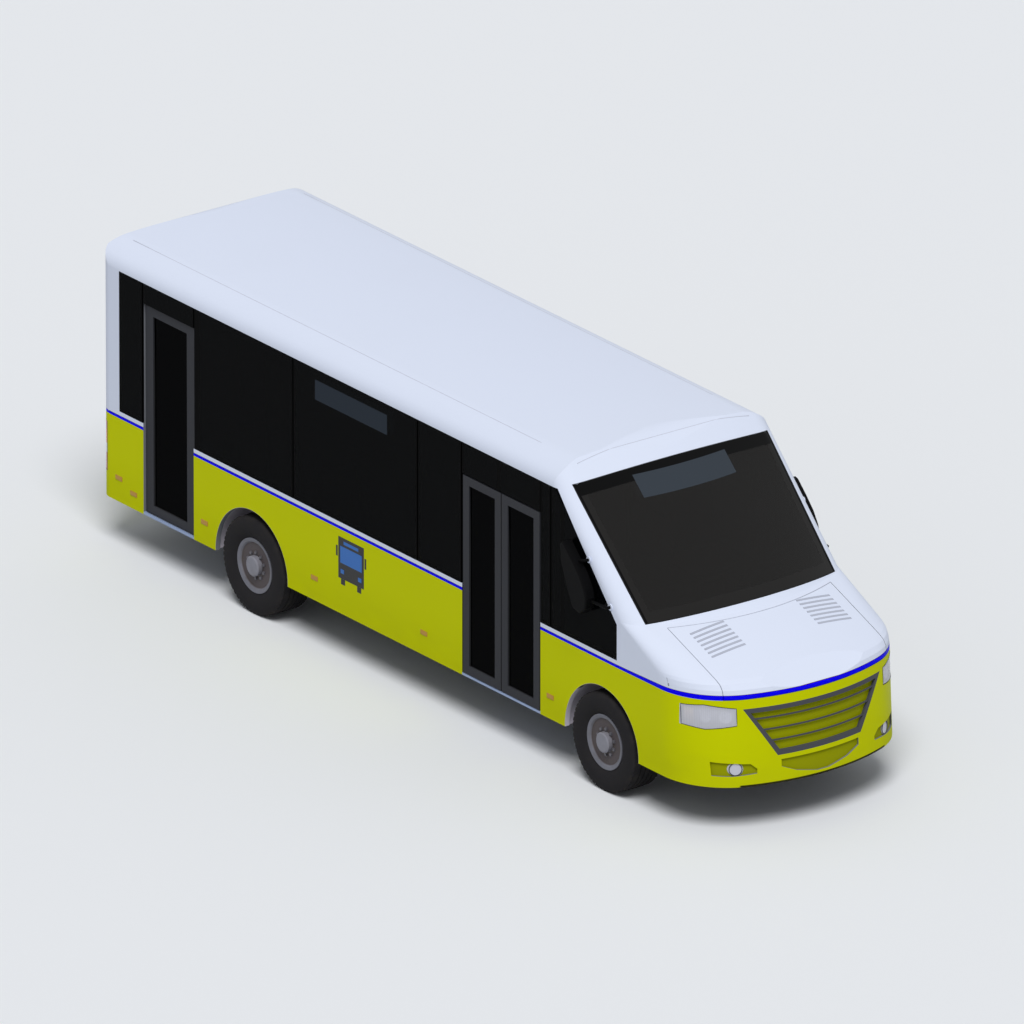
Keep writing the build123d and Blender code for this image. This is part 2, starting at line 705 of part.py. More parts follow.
def pivot_pin(x, y, head, grow=0.0, upper=True):
    """A leaf's lower pivot pin, and its upper one where the lintel is over it."""
    low = rod(PIVOT_R + grow, (x, y, SILL_TOP - PIVOT_REACH - grow), (x, y, LEAF_FOOT))
    if not upper:
        return low
    return low + rod(PIVOT_R + grow, (x, y, head - DOOR_GAP), (x, y, head + PIVOT_REACH + grow))


LEAF_FOOT = SILL_TOP + 8
FRONT_MID = (FRONT_DOOR[0] + FRONT_DOOR[1]) / 2
LEAVES = {  # name: rear X, front X, lintel Z, Y of its outer face, width of its stiles
    "front_door_rear_leaf": (
        FRONT_DOOR[0] + DOOR_GAP, FRONT_MID - DOOR_GAP / 2, FRONT_DOOR[2], -HALF, FRONT_STILE
    ),
    "front_door_front_leaf": (
        FRONT_MID + DOOR_GAP / 2, FRONT_DOOR[1] - DOOR_GAP, FRONT_DOOR[2], -HALF, FRONT_STILE
    ),
    "rear_door_leaf": (
        REAR_DOOR[0] + DOOR_GAP, REAR_DOOR[1] - DOOR_GAP, REAR_DOOR[2], REAR_LEAF_INSET - HALF, REAR_STILE
    ),
}


PIVOTS = {  # name: X, Y of a leaf's pivot axis
    "front_door_rear_leaf": (LEAVES["front_door_rear_leaf"][0] + PIVOT_INSET[0], PIVOT_INSET[1] - HALF),
    "front_door_front_leaf": (LEAVES["front_door_front_leaf"][1] - PIVOT_INSET[0], PIVOT_INSET[1] - HALF),
    "rear_door_leaf": (
        LEAVES["rear_door_leaf"][1] - PIVOT_INSET[0],
        REAR_LEAF_INSET + PIVOT_INSET[1] - HALF,
    ),
    "driver_door": (DRIVER_DOOR[1] - DOOR_GAP - PIVOT_INSET[0], HALF - PIVOT_INSET[1]),
}


def pins(name, grow=0.0):
    """The pivot pins of one door leaf, or the holes for them."""
    head = DRIVER_DOOR[2] if name == "driver_door" else LEAVES[name][2]
    return pivot_pin(*PIVOTS[name], head, grow, upper=name != "rear_door_leaf")


def driver_door():
    """The driver's door: a closed panel below the belt and a window frame above it."""
    x0, x1 = DRIVER_DOOR[0] + DOOR_GAP, DRIVER_DOOR[1] - DOOR_GAP
    high = DRIVER_DOOR[2] - DOOR_GAP
    panel = block((x0, x1), (HALF - LEAF_T, HALF), (LEAF_FOOT, high))
    rebate = block((x0 - 1, x1 + 1), (HALF - GLASS, HALF + 1), (BELT_Z, high + 1))
    hole = block(
        (x0 + PANE_FLANGE, x1 - PANE_FLANGE),
        (0, HALF + 1),
        (BELT_Z + PANE_FLANGE, high - PANE_FLANGE),
    )
    return panel - rebate - hole + pins("driver_door")


def driver_door_glass():
    """The flush pane of the driver's door."""
    x0, x1 = DRIVER_DOOR[0] + DOOR_GAP, DRIVER_DOOR[1] - DOOR_GAP
    return block((x0, x1), (HALF - GLASS, HALF), (BELT_Z, DRIVER_DOOR[2] - DOOR_GAP))


def door_sills():
    """Step plates under the three doors, each with its riser up to the floor."""
    plates = []
    well = HALF - DOOR_WELL
    for side, (x0, x1, _) in ((-1, FRONT_DOOR), (-1, REAR_DOOR), (1, DRIVER_DOOR)):
        plate = block((x0, x1), on_side(side, well - RISER_T, HALF), (SKIRT_Z, SILL_TOP))
        riser = block((x0, x1), on_side(side, well - RISER_T, well), (SKIRT_Z, FLOOR_Z[0]))
        plates.append(plate + riser)
    holes = join([pins(name, RUNNING_FIT) for name in PIVOTS])
    return group(plate - holes for plate in plates)


# ---------------------------------------------------------------- floor, wheel houses, chassis
def wheel_house(axle_x, side, inner_y):
    """A round wheel-house liner with its inner wall, open below and outwards."""
    y = on_side(side, inner_y, HALF - WALL)

    def drum(radius, y0, y1):
        roll = Pos(axle_x, (y0 + y1) / 2, TYRE_R) * Rot(90, 0, 0) * Cylinder(radius, y1 - y0)
        legs = block((axle_x - radius, axle_x + radius), (y0, y1), (SKIRT_Z, TYRE_R))
        upper = roll & block((axle_x - radius, axle_x + radius), (y0, y1), (TYRE_R, HIGH))
        return upper + legs

    hollow_y = (y[0] + LINER_T, y[1] + 1) if side > 0 else (y[0] - 1, y[1] - LINER_T)
    hollow = drum(LINER_R - LINER_T, *hollow_y)
    hollow += block((axle_x - LINER_R + LINER_T, axle_x + LINER_R - LINER_T), hollow_y, (0, TYRE_R))
    return drum(LINER_R, *y) - hollow


def wheel_houses():
    """Four wheel-house liners."""
    rows = ((FRONT_AXLE_X, FRONT_LINER_Y), (REAR_AXLE_X, REAR_LINER_Y))
    return group(wheel_house(x, side, inner) for x, inner in rows for side in (-1, 1))


FLOOR_FRONT_X = NOSE_X - 1240.0
DASH_X = NOSE_X - 1300.0


def floor():
    """The saloon floor, cut round the wheel houses, with the bulkhead to the engine bay."""
    slab = plan_prism(WALL + SEAT_GAP, *FLOOR_Z) & block((TAIL_X, FLOOR_FRONT_X), (-HALF, HALF), FLOOR_Z)
    for side, (x0, x1, _) in ((-1, FRONT_DOOR), (-1, REAR_DOOR), (1, DRIVER_DOOR)):
        slab -= block((x0, x1), on_side(side, HALF - DOOR_WELL, HALF), FLOOR_Z)
    for axle_x, inner in ((FRONT_AXLE_X, FRONT_LINER_Y), (REAR_AXLE_X, REAR_LINER_Y)):
        for side in (-1, 1):
            slab -= block(
                (axle_x - LINER_R, axle_x + LINER_R), on_side(side, inner, HALF), (0, HIGH)
            )
    return slab


TOWING_EYE = (TAIL_X + 55.0, 400.0)
EYE_R = 18.0
EYE_T = 24.0
RAIL_MID_Y = (RAIL_Y[0] + RAIL_Y[1]) / 2
RAIL_X = (TAIL_X + 140.0, NOSE_X - 210.0)
CROSS_SPAN = (REAR_AXLE_X + 900.0, FRONT_AXLE_X - 700.0)
CROSS_X = (TAIL_X + 290.0, REAR_AXLE_X - 800.0) + tuple(along(CROSS_SPAN, i / 4) for i in range(5))
JACK_X = (REAR_AXLE_X - 1200.0, FRONT_AXLE_X - 1200.0)
JACK_PAD = (120.0, 15.0)  # length, thickness


def chassis():
    """Ladder frame: two rails, crossmembers out to the skirts, and the engine's mounts."""
    rails = [block(RAIL_X, on_side(side, *RAIL_Y), RAIL_Z) for side in (-1, 1)]
    length, thick = JACK_PAD
    pads = [
        block((x - length / 2, x + length / 2), on_side(side, *RAIL_Y), (RAIL_Z[0] - thick, RAIL_Z[0] + 1))
        for x in JACK_X
        for side in (-1, 1)
    ]
    reach = HALF - DOOR_WELL - RISER_T - 5
    bars = [
        block((x - CROSS_W / 2, x + CROSS_W / 2), (-reach, reach), (CROSS_Z, RAIL_Z[1])) for x in CROSS_X
    ]
    bumper_y = RAIL_Y[1] + 240
    bumper = block((RAIL_X[1] - 80, NOSE_X), (-bumper_y, bumper_y), RAIL_Z) & plan_prism(WALL + 4, *RAIL_Z)
    mount_x = (ENGINE_X[0] + 300, ENGINE_X[0] + 400)
    mounts = [
        block(mount_x, on_side(side, ENGINE_HALF, RAIL_Y[0] + 10), (RAIL_Z[0] + 10, RAIL_Z[1]))
        for side in (-1, 1)
    ]
    x, z = TOWING_EYE
    y0, y1 = RAIL_MID_Y - EYE_T / 2, RAIL_MID_Y + EYE_T / 2
    lug = block((x - 35, x + 95), on_side(-1, y0, y1), (z - 35, SKIRT_Z - 5))
    frame = join(rails + pads + bars + [bumper, lug] + mounts)
    return frame - rod(EYE_R, (x, -y1 - 1, z), (x, -y0 + 1, z))


ENGINE_HALF = RAIL_Y[0] - 80.0
SHAFT_R = 30.0
ENGINE_X = (NOSE_X - 1190.0, NOSE_X - 410.0)
ENGINE_Z = (425.0, 1130.0)


def engine():
    """The engine with its gearbox, one plain block."""
    return block(ENGINE_X, (-ENGINE_HALF, ENGINE_HALF), ENGINE_Z)


def leaf_springs():
    """Four leaf springs, arched between the axles and the rails."""
    springs = []
    for axle_x in (FRONT_AXLE_X, REAR_AXLE_X):
        for side in (-1, 1):
            low, high = BEAM_Z[1], RAIL_Z[0]
            upper = [(-SPRING_HALF, high), (0, low + SPRING_T), (SPRING_HALF, high)]
            lower = [(SPRING_HALF, high - SPRING_T), (0, low), (-SPRING_HALF, high - SPRING_T)]
            place = [[(axle_x + x, 0, z) for x, z in row] for row in (upper, lower)]
            edges = [
                ThreePointArc(*place[0]),
                Line(place[0][-1], place[1][0]),
                ThreePointArc(*place[1]),
                Line(place[1][-1], place[0][0]),
            ]
            y = on_side(side, *RAIL_Y)
            springs.append(Pos(0, y[0], 0) * extrude(make_face(edges), y[1] - y[0], dir=(0, 1, 0)))
    return group(springs)


def front_axle():
    """A straight beam with an upright kingpin boss at each end."""
    x = (FRONT_AXLE_X - AXLE_W / 2, FRONT_AXLE_X + AXLE_W / 2)
    beam = block(x, (-KINGPIN_Y, KINGPIN_Y), BEAM_Z)
    for side in (-1, 1):
        spot = (FRONT_AXLE_X, side * KINGPIN_Y)
        beam += rod(BOSS_R, (*spot, BEAM_Z[0]), (*spot, KNUCKLE_Z[1] - KNUCKLE_T - 5))
    for side in (-1, 1):
        spot = (FRONT_AXLE_X, side * KINGPIN_Y)
        beam -= rod(KINGPIN_R + RUNNING_FIT, (*spot, 0), (*spot, 800))
    return beam


KNUCKLE_Z = (300.0, 550.0)
KNUCKLE_T = 25.0
TIE_ARM = 110.0
TIE_R = 14.0
STUD_R = 8.0
SPINDLE_END = WHEEL_Y + 95.0


def knuckle(side):
    """Steering knuckle: fork, kingpin, spindle and steering arm."""
    web_y = (KINGPIN_Y + BOSS_R + 6, KINGPIN_Y + BOSS_R + 30)
    x = (FRONT_AXLE_X - 50, FRONT_AXLE_X + 50)
    low, high = KNUCKLE_Z
    fork = block(x, web_y, KNUCKLE_Z)
    for z in ((low, low + KNUCKLE_T), (high - KNUCKLE_T, high)):
        fork += block(x, (KINGPIN_Y - 40, web_y[1]), z)
    fork += rod(KINGPIN_R, (FRONT_AXLE_X, KINGPIN_Y, low), (FRONT_AXLE_X, KINGPIN_Y, high))
    fork += rod(BEARING_R, (FRONT_AXLE_X, web_y[0], TYRE_R), (FRONT_AXLE_X, SPINDLE_END, TYRE_R))
    eye_x = FRONT_AXLE_X - TIE_ARM
    arm_z = (low, low + KNUCKLE_T)
    fork += block((eye_x - 20, FRONT_AXLE_X), (KINGPIN_Y - 20, KINGPIN_Y + 20), arm_z)
    fork -= rod(STUD_R + RUNNING_FIT, (eye_x, KINGPIN_Y, 0), (eye_x, KINGPIN_Y, low + KNUCKLE_T + 1))
    return fork if side > 0 else mirror_y(fork)


def tie_rod():
    """The track rod between the two steering arms, with a stud at each end."""
    x, z = FRONT_AXLE_X - TIE_ARM, KNUCKLE_Z[0] + KNUCKLE_T + 6 + TIE_R
    bar = rod(TIE_R, (x, -KINGPIN_Y - 4, z), (x, KINGPIN_Y + 4, z))
    for side in (-1, 1):
        bar += rod(STUD_R, (x, side * KINGPIN_Y, KNUCKLE_Z[0]), (x, side * KINGPIN_Y, z))
    return bar


def rear_axle():
    """Rear beam with its final drive and a spindle at each end."""
    z = BEAM_Z[1] - REAR_BEAM_R
    beam = rod(REAR_BEAM_R, (REAR_AXLE_X, -WHEEL_Y + 60, z), (REAR_AXLE_X, WHEEL_Y - 60, z))
    beam += Pos(REAR_AXLE_X, 0, z) * Sphere(FINAL_DRIVE_R)
    for side in (-1, 1):
        drum_y = [side * (WHEEL_Y + d) for d in (-165, -25)]
        beam += rod(150, (REAR_AXLE_X, drum_y[0], TYRE_R), (REAR_AXLE_X, drum_y[1], TYRE_R))
        beam += rod(BEARING_R, (REAR_AXLE_X, drum_y[0], TYRE_R), (REAR_AXLE_X, side * SPINDLE_END, TYRE_R))
    pads = [
        block((REAR_AXLE_X - 60, REAR_AXLE_X + 60), on_side(side, *RAIL_Y), (z, BEAM_Z[1]))
        for side in (-1, 1)
    ]
    return join([beam] + pads)


def propshaft():
    """The shaft from the gearbox to the final drive."""
    z = BEAM_Z[1] - REAR_BEAM_R
    shaft = rod(SHAFT_R, (ENGINE_X[0] + 50, 0, ENGINE_Z[0] + 35), (REAR_AXLE_X, 0, z))
    return shaft - engine() - Pos(REAR_AXLE_X, 0, z) * Sphere(FINAL_DRIVE_R + SEAT_GAP)


# ---------------------------------------------------------------- wheels
def revolve_y(points, x, y, outward):
    """Turns a closed (distance outward, radius) polygon about a wheel's own axis."""
    face = make_face(Polyline(*[(0, outward * d, r) for d, r in points], close=True))
    return Pos(x, y, TYRE_R) * revolve(face, Axis.Y, 360)


def tyre(x, y, side):
    """A wide tyre with rounded shoulders and bulged sidewalls."""
    half, bead = TYRE_WIDTH / 2, BEAD_R + SEAT_GAP
    table = (  # (share of the half width, radius), from bead to tread centre
        (0.77, bead),
        (0.77, bead + 28),
        (0.93, bead + 62),
        (1.00, bead + 118),
        (0.98, TYRE_R - 58),
        (0.90, TYRE_R - 18),
        (0.80, TYRE_R - 4),
        (0.66, TYRE_R),
    )
    outer = [(share * half, radius) for share, radius in table]
    inner = [(-d, r) for d, r in reversed(outer)]
    return revolve_y(outer + inner, x, y, side)


def rim(x, y, side):
    """Rim, disc and hub: the disc stands near the outer face, with a round hub cap."""
    d0, d1 = DISC_Y
    lip = RIM_HALF - RIM_LIP
    table = (
        (-RIM_HALF, BEAD_R - RIM_WALL),
        (d0, BEAD_R - RIM_WALL),
        (d0, HUB_R - 30),
        (HUB_BACK, HUB_R - 30),
        (HUB_BACK, BEARING_R + RUNNING_FIT),
        (SPINDLE_END - WHEEL_Y + 3, BEARING_R + RUNNING_FIT),
        (SPINDLE_END - WHEEL_Y + 3, 0),
        (HUB_FACE, 0),
        (HUB_FACE, HUB_R - 14),
        (HUB_FACE - 8, HUB_R),
        (d1, HUB_R),
        (d1, BEAD_R - 27),
        (RIM_HALF - 6, BEAD_R - 12),
        (RIM_HALF, RIM_R - 6),
        (RIM_HALF, RIM_R),
        (lip, RIM_R),
        (lip, BEAD_R),
        (-lip, BEAD_R),
        (-lip, RIM_R),
        (-RIM_HALF, RIM_R),
    )
    return revolve_y(table, x, y, side)


WHEELS = {
    "front_right": (FRONT_AXLE_X, -1),
    "front_left": (FRONT_AXLE_X, 1),
    "rear_right": (REAR_AXLE_X, -1),
    "rear_left": (REAR_AXLE_X, 1),
}

# ---------------------------------------------------------------- small outside pieces
MARKERS = (  # X and height of each marker's middle, and whether the left side has it as well
    (along(REAR_BAY, 0.086), 674.0, True),
    (along(REAR_BAY, 0.2255), 592.0, False),
    (along(REAR_BAY, 0.896), 660.0, True),
    (along(MIDDLE_BAY, 0.1813), 660.0, True),
    (along(MIDDLE_BAY, 0.4952), 660.0, True),
    (FRONT_DOOR[1] + 148.0, 660.0, False),
)
MARKER = (90.0, 34.0)  # length, height
MARKER_T = 6.0


def side_markers():
    """Amber side markers, seated on the skirt panels."""
    length, height = (size / 2 for size in MARKER)
    y = {side: on_side(side, HALF, HALF + MARKER_T) for side in (-1, 1)}
    return group(
        block((x - length, x + length), y[side], (z - height, z + height))
        for x, z, on_both in MARKERS
        for side in ((-1, 1) if on_both else (-1,))
    )


# outside mirrors: the head's side view behind the front axle, and how far it stands off the side wall
MIRROR_HEAD = (
    (-400.0, 2260.0),
    (-275.0, 2140.0),
    (-170.0, 2028.0),
    (-100.0, 1915.0),
    (-75.0, 1830.0),
    (-90.0, 1735.0),
    (-170.0, 1665.0),
    (-275.0, 1690.0),
    (-355.0, 1850.0),
    (-450.0, 2090.0),
    (-465.0, 2235.0),
    (-435.0, 2270.0),
)
MIRROR_Y = (22.0, 120.0)
MIRROR_ARMS = (  # X and Z inside the head, X and Z of the foot on the pillar
    ((-300.0, 2120.0), (-185.0, 2150.0)),
    ((-120.0, 1800.0), (130.0, 1800.0)),
)
ARM_R = 14.0
ARM_SOCKET_R = 30.0


def mirror_head(side):
    """An outside mirror: its slanting head, its two arms and their feet on the pillar."""
    y = on_side(side, HALF + MIRROR_Y[0], HALF + MIRROR_Y[1])
    head = prism_y([(FRONT_AXLE_X + x, z) for x, z in MIRROR_HEAD], *y)
    rim = head.edges().filter_by(GeomType.LINE).group_by(Axis.Y)[0 if side < 0 else -1]
    head = fillet(rim, 16)
    parts = [head]
    for (x0, z0), (x1, z1) in MIRROR_ARMS:
        start = (FRONT_AXLE_X + x0, side * (HALF + 55), z0)
        foot = (FRONT_AXLE_X + x1, side * HALF, z1)
        knee = (FRONT_AXLE_X + x1, side * (HALF + 40), z1)
        parts.append(rod(ARM_R, start, knee))
        parts.append(Pos(*knee) * Sphere(ARM_R))
        parts.append(rod(ARM_R, foot, knee))
        parts.append(rod(ARM_SOCKET_R, foot, (foot[0], side * (HALF + 10), foot[2])))
    return join(parts)


# ---------------------------------------------------------------- inside
SEAT_W = 860.0
SEAT_D = 420.0
SEAT_H = 450.0
SEAT_BACK_H = 640.0
SEAT_WALL_GAP = 15.0
SEAT_LEAN = 90.0
FIRST_SEAT_X = FRONT_DOOR[0] - 230.0  # front edge of the row behind the door
LAST_SEAT_X = REAR_AXLE_X + LINER_R + 265.0 + SEAT_D + SEAT_LEAN  # front edge of the row before the wheels
SEAT_ROWS = (FIRST_SEAT_X, (FIRST_SEAT_X + LAST_SEAT_X) / 2, LAST_SEAT_X)


def bench(x, side, base_z, width=SEAT_W):
    """A moulded double seat on a pedestal, facing forward."""
    y = on_side(side, HALF - WALL - SEAT_WALL_GAP - width, HALF - WALL - SEAT_WALL_GAP)
    top = base_z + SEAT_H
    cushion = block((x - SEAT_D, x), y, (top - 70, top))
    back = prism_y(
        [
            (x - SEAT_D, top - 70),
            (x - SEAT_D + 60, top - 70),
            (x - SEAT_D - SEAT_LEAN + 50, top + SEAT_BACK_H),
            (x - SEAT_D - SEAT_LEAN, top + SEAT_BACK_H),
        ],
        *y,
    )
    mid = (y[0] + y[1]) / 2
    leg = block((x - SEAT_D + 60, x - 100), (mid - 60, mid + 60), (base_z, top - 60))
    return join([cushion, back, leg])


def passenger_seats():
    """Double seats along both sides and a row across the tail."""
    rows = [bench(x, side, FLOOR_Z[1]) for side in (-1, 1) for x in SEAT_ROWS]
    tail = bench(TAIL_X + WALL + 560, 1, FLOOR_Z[1], 2 * (HALF - WALL - SEAT_WALL_GAP))
    return group(rows + [tail])


CAB_Z = (1045.0, 1080.0)
CAB_X = (DRIVER_DOOR[0] + 110.0, DASH_X - 10.0)
CAB_Y = (HALF - 930.0, HALF - 70.0)
DRIVER_Y = HALF - 500.0


def cab_platform():
    """The driver's raised platform over the left wheel house, with its step box."""
    deck = block(CAB_X, CAB_Y, CAB_Z)
    front = block((CAB_X[0], CAB_X[0] + 30), (CAB_Y[0], CAB_Y[1]), (FLOOR_Z[1], CAB_Z[0]))
    side = block((CAB_X[0], FRONT_AXLE_X - 600), (CAB_Y[0], CAB_Y[0] + 30), (FLOOR_Z[1], CAB_Z[0]))
    return join([deck, front, side])


def driver_seat():
    """The driver's seat on its pedestal."""
    x, y, base = FRONT_AXLE_X - 750, (DRIVER_Y - 250, DRIVER_Y + 250), CAB_Z[1]
    cushion = block((x - 460, x + 20), y, (base + 300, base + 390))
    profile = ((-460, 300), (-370, 300), (-470, 1020), (-560, 1020))
    back = prism_y([(x + dx, base + dz) for dx, dz in profile], *y)
    leg = block((x - 360, x - 80), (y[0] + 120, y[1] - 120), (base, base + 310))
    return join([cushion, back, leg])


SIGN_FRONT = (510.0, 2550.0, 2711.0)  # half width, foot and head
SIGN_HANGER = 140.0
SIGN_DEPTH = (95.0, 135.0)  # behind the windscreen's outer face, measured along X
SIGN_SIDE = (DIVIDERS[0] + 329.0, DIVIDERS[0] + 1401.0, 2375.0, 2566.0)  # X and Z of the sign in the side window
DASH_Z = (1080.0, 1560.0)


def dashboard():
    """The instrument panel under the windscreen, closing off the engine bay."""
    reach, wide = FRONT_LINER_Y - 20, HALF - 180
    profile = ((-330, 1400), (0, 1150), (0, DASH_Z[1]), (-190, DASH_Z[1]))
    upper = prism_y([(DASH_X + dx, z) for dx, z in profile], -wide, wide)
    bulkhead = block((DASH_X, DASH_X + 40), (-reach, reach), (FLOOR_Z[1], DASH_Z[1]))
    return upper + bulkhead - rod(COLUMN_R + SEAT_GAP, COLUMN_FOOT, COLUMN_HEAD)


COLUMN_FOOT = (DASH_X - 230.0, DRIVER_Y, 1330.0)
COLUMN_HEAD = (DASH_X - 530.0, DRIVER_Y, 1560.0)
COLUMN_R = 26.0
WHEEL_RING = (220.0, 17.0)


def steering_wheel():
    """The column out of the instrument panel, with a ring on three spokes at its head."""
    a, b = Vector(*COLUMN_FOOT), Vector(*COLUMN_HEAD)
    axis = (b - a).normalized()
    plane = Plane(origin=b, x_dir=(0, 1, 0), z_dir=axis)
    ring_r, tube_r = WHEEL_RING
    ring = plane * Pos(0, 0, 40) * Torus(ring_r, tube_r)
    hub = plane * Cylinder(45, 50, align=(Align.CENTER, Align.CENTER, Align.MIN))
    spokes = [
        plane * Pos(0, 0, 35) * Rot(0, 0, angle) * Pos(ring_r / 2, 0, 0) * Box(ring_r, 30, 12)
        for angle in (90, 210, 330)
    ]
    return join([rod(COLUMN_R, COLUMN_FOOT, COLUMN_HEAD), ring, hub] + spokes)


POLE_R = 16.0
POLES = (
    (FRONT_DOOR[0] - 120, 750 - HALF),
    (REAR_DOOR[1] + 88, 750 - HALF),
    (LAST_SEAT_X, HALF - 955),
    (LAST_SEAT_X, 955 - HALF),
    (DRIVER_DOOR[0] + 50, CAB_Y[0] - 35),
)


def handrails():
    """Upright grab poles from floor to roof."""
    return group(rod(POLE_R, (x, y, FLOOR_Z[1]), (x, y, HIGH)) & ROOM for x, y in POLES)


def route_displays():
    """Blank route signs behind the windscreen and behind a side window."""
    foot, head = SCUTTLE, NOSE_SECTIONS[-1]
    lean = (head[1] - foot[1]) / (head[0] - foot[0])

    def behind(depth, z):
        return (NOSE_X - foot[1] - depth - lean * (z - foot[0]), z)

    low, high = SIGN_FRONT[1:]
    near, far = SIGN_DEPTH
    top = high + SIGN_HANGER
    shape = [behind(near, low), behind(near, top), behind(far, top), behind(far, low)]
    front = prism_y(shape, -SIGN_FRONT[0], SIGN_FRONT[0]) & ROOM
    x0, x1, z0, z1 = SIGN_SIDE
    y = on_side(-1, HALF - WALL - 30, HALF - WALL - SEAT_GAP)
    side = block((x0, x1), y, (z0, z1))
    for x in (x0, x1 - 40):
        side += block((x, x + 40), y, (z1, GLASS_TOP_Z))
    return group([front, side])


DRUM_R = 80.0


def tank():
    """Fuel tank on the left, under the crossmembers."""
    box = block((REAR_AXLE_X + 850, REAR_AXLE_X + 1850), (RAIL_Y[1] + 100, HALF - 200), (270, CROSS_Z))
    return fillet(box.edges().filter_by(Axis.X), 40)


def exhaust():
    """Silencer and tail pipe on the left side of the chassis."""
    z = CROSS_Z - DRUM_R - SEAT_GAP
    x, y = FRONT_AXLE_X, RAIL_Y[1] + 180
    drum = rod(DRUM_R, (x - 2560, y, z), (x - 1540, y, z))
    return drum + rod(28, (x - 1540, y, z), (x - 750, y, z))


# ---------------------------------------------------------------- every node
def build():
    """Returns a dict of node name to shape."""
    cuts = {side: side_cut(side) for side in (-1, 1)}
    nodes = {
        "roof": roof_shell(),
        "rear_wall": rear_wall(),
        "right_side_wall": side_wall(-1, cuts[-1]),
        "left_side_wall": side_wall(1, cuts[1]),
        "right_front_wing": front_side(-1, FRONT_DOOR[1], cuts[-1]),
        "left_front_wing": front_side(1, DRIVER_DOOR[1], cuts[1]),
        "screen_frame": screen_frame(cuts),
        "windscreen": windscreen(),
        "window_glass": window_glass(),
        "tail_lamps": tail_lamps(),
        "front_fascia": fascia(),
        "grille": grille(),
        "headlamps": headlamps(),
        "fog_lamps": fog_lamps(),
        "bonnet": bonnet(),
        "driver_door": driver_door(),
        "driver_door_glass": driver_door_glass(),
        "door_sills": door_sills(),
        "floor": floor(),
        "wheel_houses": wheel_houses(),
        "chassis_frame": chassis(),
        "engine": engine(),
        "leaf_springs": leaf_springs(),
        "front_axle": front_axle(),
        "tie_rod": tie_rod(),
        "rear_axle": rear_axle(),
        "propshaft": propshaft(),
        "side_markers": side_markers(),
        "mirror_right": mirror_head(-1),
        "mirror_left": mirror_head(1),
        "passenger_seats": passenger_seats(),
        "cab_platform": cab_platform(),
        "driver_seat": driver_seat(),
        "dashboard": dashboard(),
        "steering_wheel": steering_wheel(),
        "handrails": handrails(),
        "route_displays": route_displays(),
        "fuel_tank": tank(),
        "exhaust": exhaust(),
    }
    for name, (x0, x1, lintel, outer_y, stile) in LEAVES.items():
        span = (x0, x1, LEAF_FOOT, lintel - DOOR_GAP, outer_y, stile)
        nodes[name] = leaf_frame(*span) + pins(name)
        nodes[name + "_glass"] = leaf_glass(*span)
    for side_name, side in SIDES.items():
        nodes["knuckle_" + side_name] = knuckle(side)
    for name, (axle_x, side) in WHEELS.items():
        nodes["tyre_" + name] = tyre(axle_x, side * WHEEL_Y, side)
        nodes["rim_" + name] = rim(axle_x, side * WHEEL_Y, side)
    return nodes


for node, shape in build().items():
    export_step(shape, f"parts/{node}.step")
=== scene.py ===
"""Looks of a bonneted city minibus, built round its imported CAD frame.

Everything is in metres in the frame's own axes: +X forward, +Y to the left, +Z up, ground at Z = 0.
"""

import logging
import math
from dataclasses import dataclass
from enum import Enum
from typing import Any, Iterable, Sequence

import bmesh
import bpy
from mathutils import Matrix, Vector
from mathutils.bvhtree import BVHTree


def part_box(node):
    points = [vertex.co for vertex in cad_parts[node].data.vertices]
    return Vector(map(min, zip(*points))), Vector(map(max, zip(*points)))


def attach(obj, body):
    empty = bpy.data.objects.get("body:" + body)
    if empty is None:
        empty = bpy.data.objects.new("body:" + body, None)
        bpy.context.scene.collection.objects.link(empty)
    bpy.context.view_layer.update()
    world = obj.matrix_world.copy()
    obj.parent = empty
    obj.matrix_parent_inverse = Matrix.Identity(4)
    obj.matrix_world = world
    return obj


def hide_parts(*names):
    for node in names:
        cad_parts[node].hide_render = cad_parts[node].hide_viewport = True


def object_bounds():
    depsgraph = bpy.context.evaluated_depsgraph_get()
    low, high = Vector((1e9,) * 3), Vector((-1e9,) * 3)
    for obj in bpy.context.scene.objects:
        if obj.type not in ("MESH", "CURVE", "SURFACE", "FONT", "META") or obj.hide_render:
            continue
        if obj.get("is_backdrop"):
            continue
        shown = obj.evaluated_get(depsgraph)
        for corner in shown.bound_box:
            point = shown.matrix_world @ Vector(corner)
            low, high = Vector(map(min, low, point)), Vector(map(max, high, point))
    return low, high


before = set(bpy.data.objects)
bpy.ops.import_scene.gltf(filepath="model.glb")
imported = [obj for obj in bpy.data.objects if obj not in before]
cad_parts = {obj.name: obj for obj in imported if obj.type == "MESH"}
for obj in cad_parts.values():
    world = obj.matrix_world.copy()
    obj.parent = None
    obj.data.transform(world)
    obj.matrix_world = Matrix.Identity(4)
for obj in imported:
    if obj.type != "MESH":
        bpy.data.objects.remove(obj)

LOG = logging.getLogger("minibus")
Span = tuple[float, float]
Point = tuple[float, float, float]
Box = tuple[Point, Point]
Colour = tuple[float, float, float, float]
Build, Vert = bmesh.types.BMesh, bmesh.types.BMVert
Mesh, Piece, Material, Socket = bpy.types.Mesh, bpy.types.Object, bpy.types.Material, bpy.types.NodeSocket


class Side(Enum):
    """The two sides of the vehicle, as the sign of Y."""

    RIGHT = -1
    LEFT = 1


class Axle(Enum):
    """The two axles, by the word in their nodes' names."""

    FRONT = "front"
    REAR = "rear"


class Flutes(Enum):
    """How a lens's flutes run, by the axis that they are counted along."""

    UPRIGHT = "y"
    LEVEL = "z"


def linear(value: int) -> float:
    """One screen value from 0 to 255, as linear light by the sRGB curve."""
    share = value / 255
    return share / 12.92 if share <= 0.04045 else ((share + 0.055) / 1.055) ** 2.4


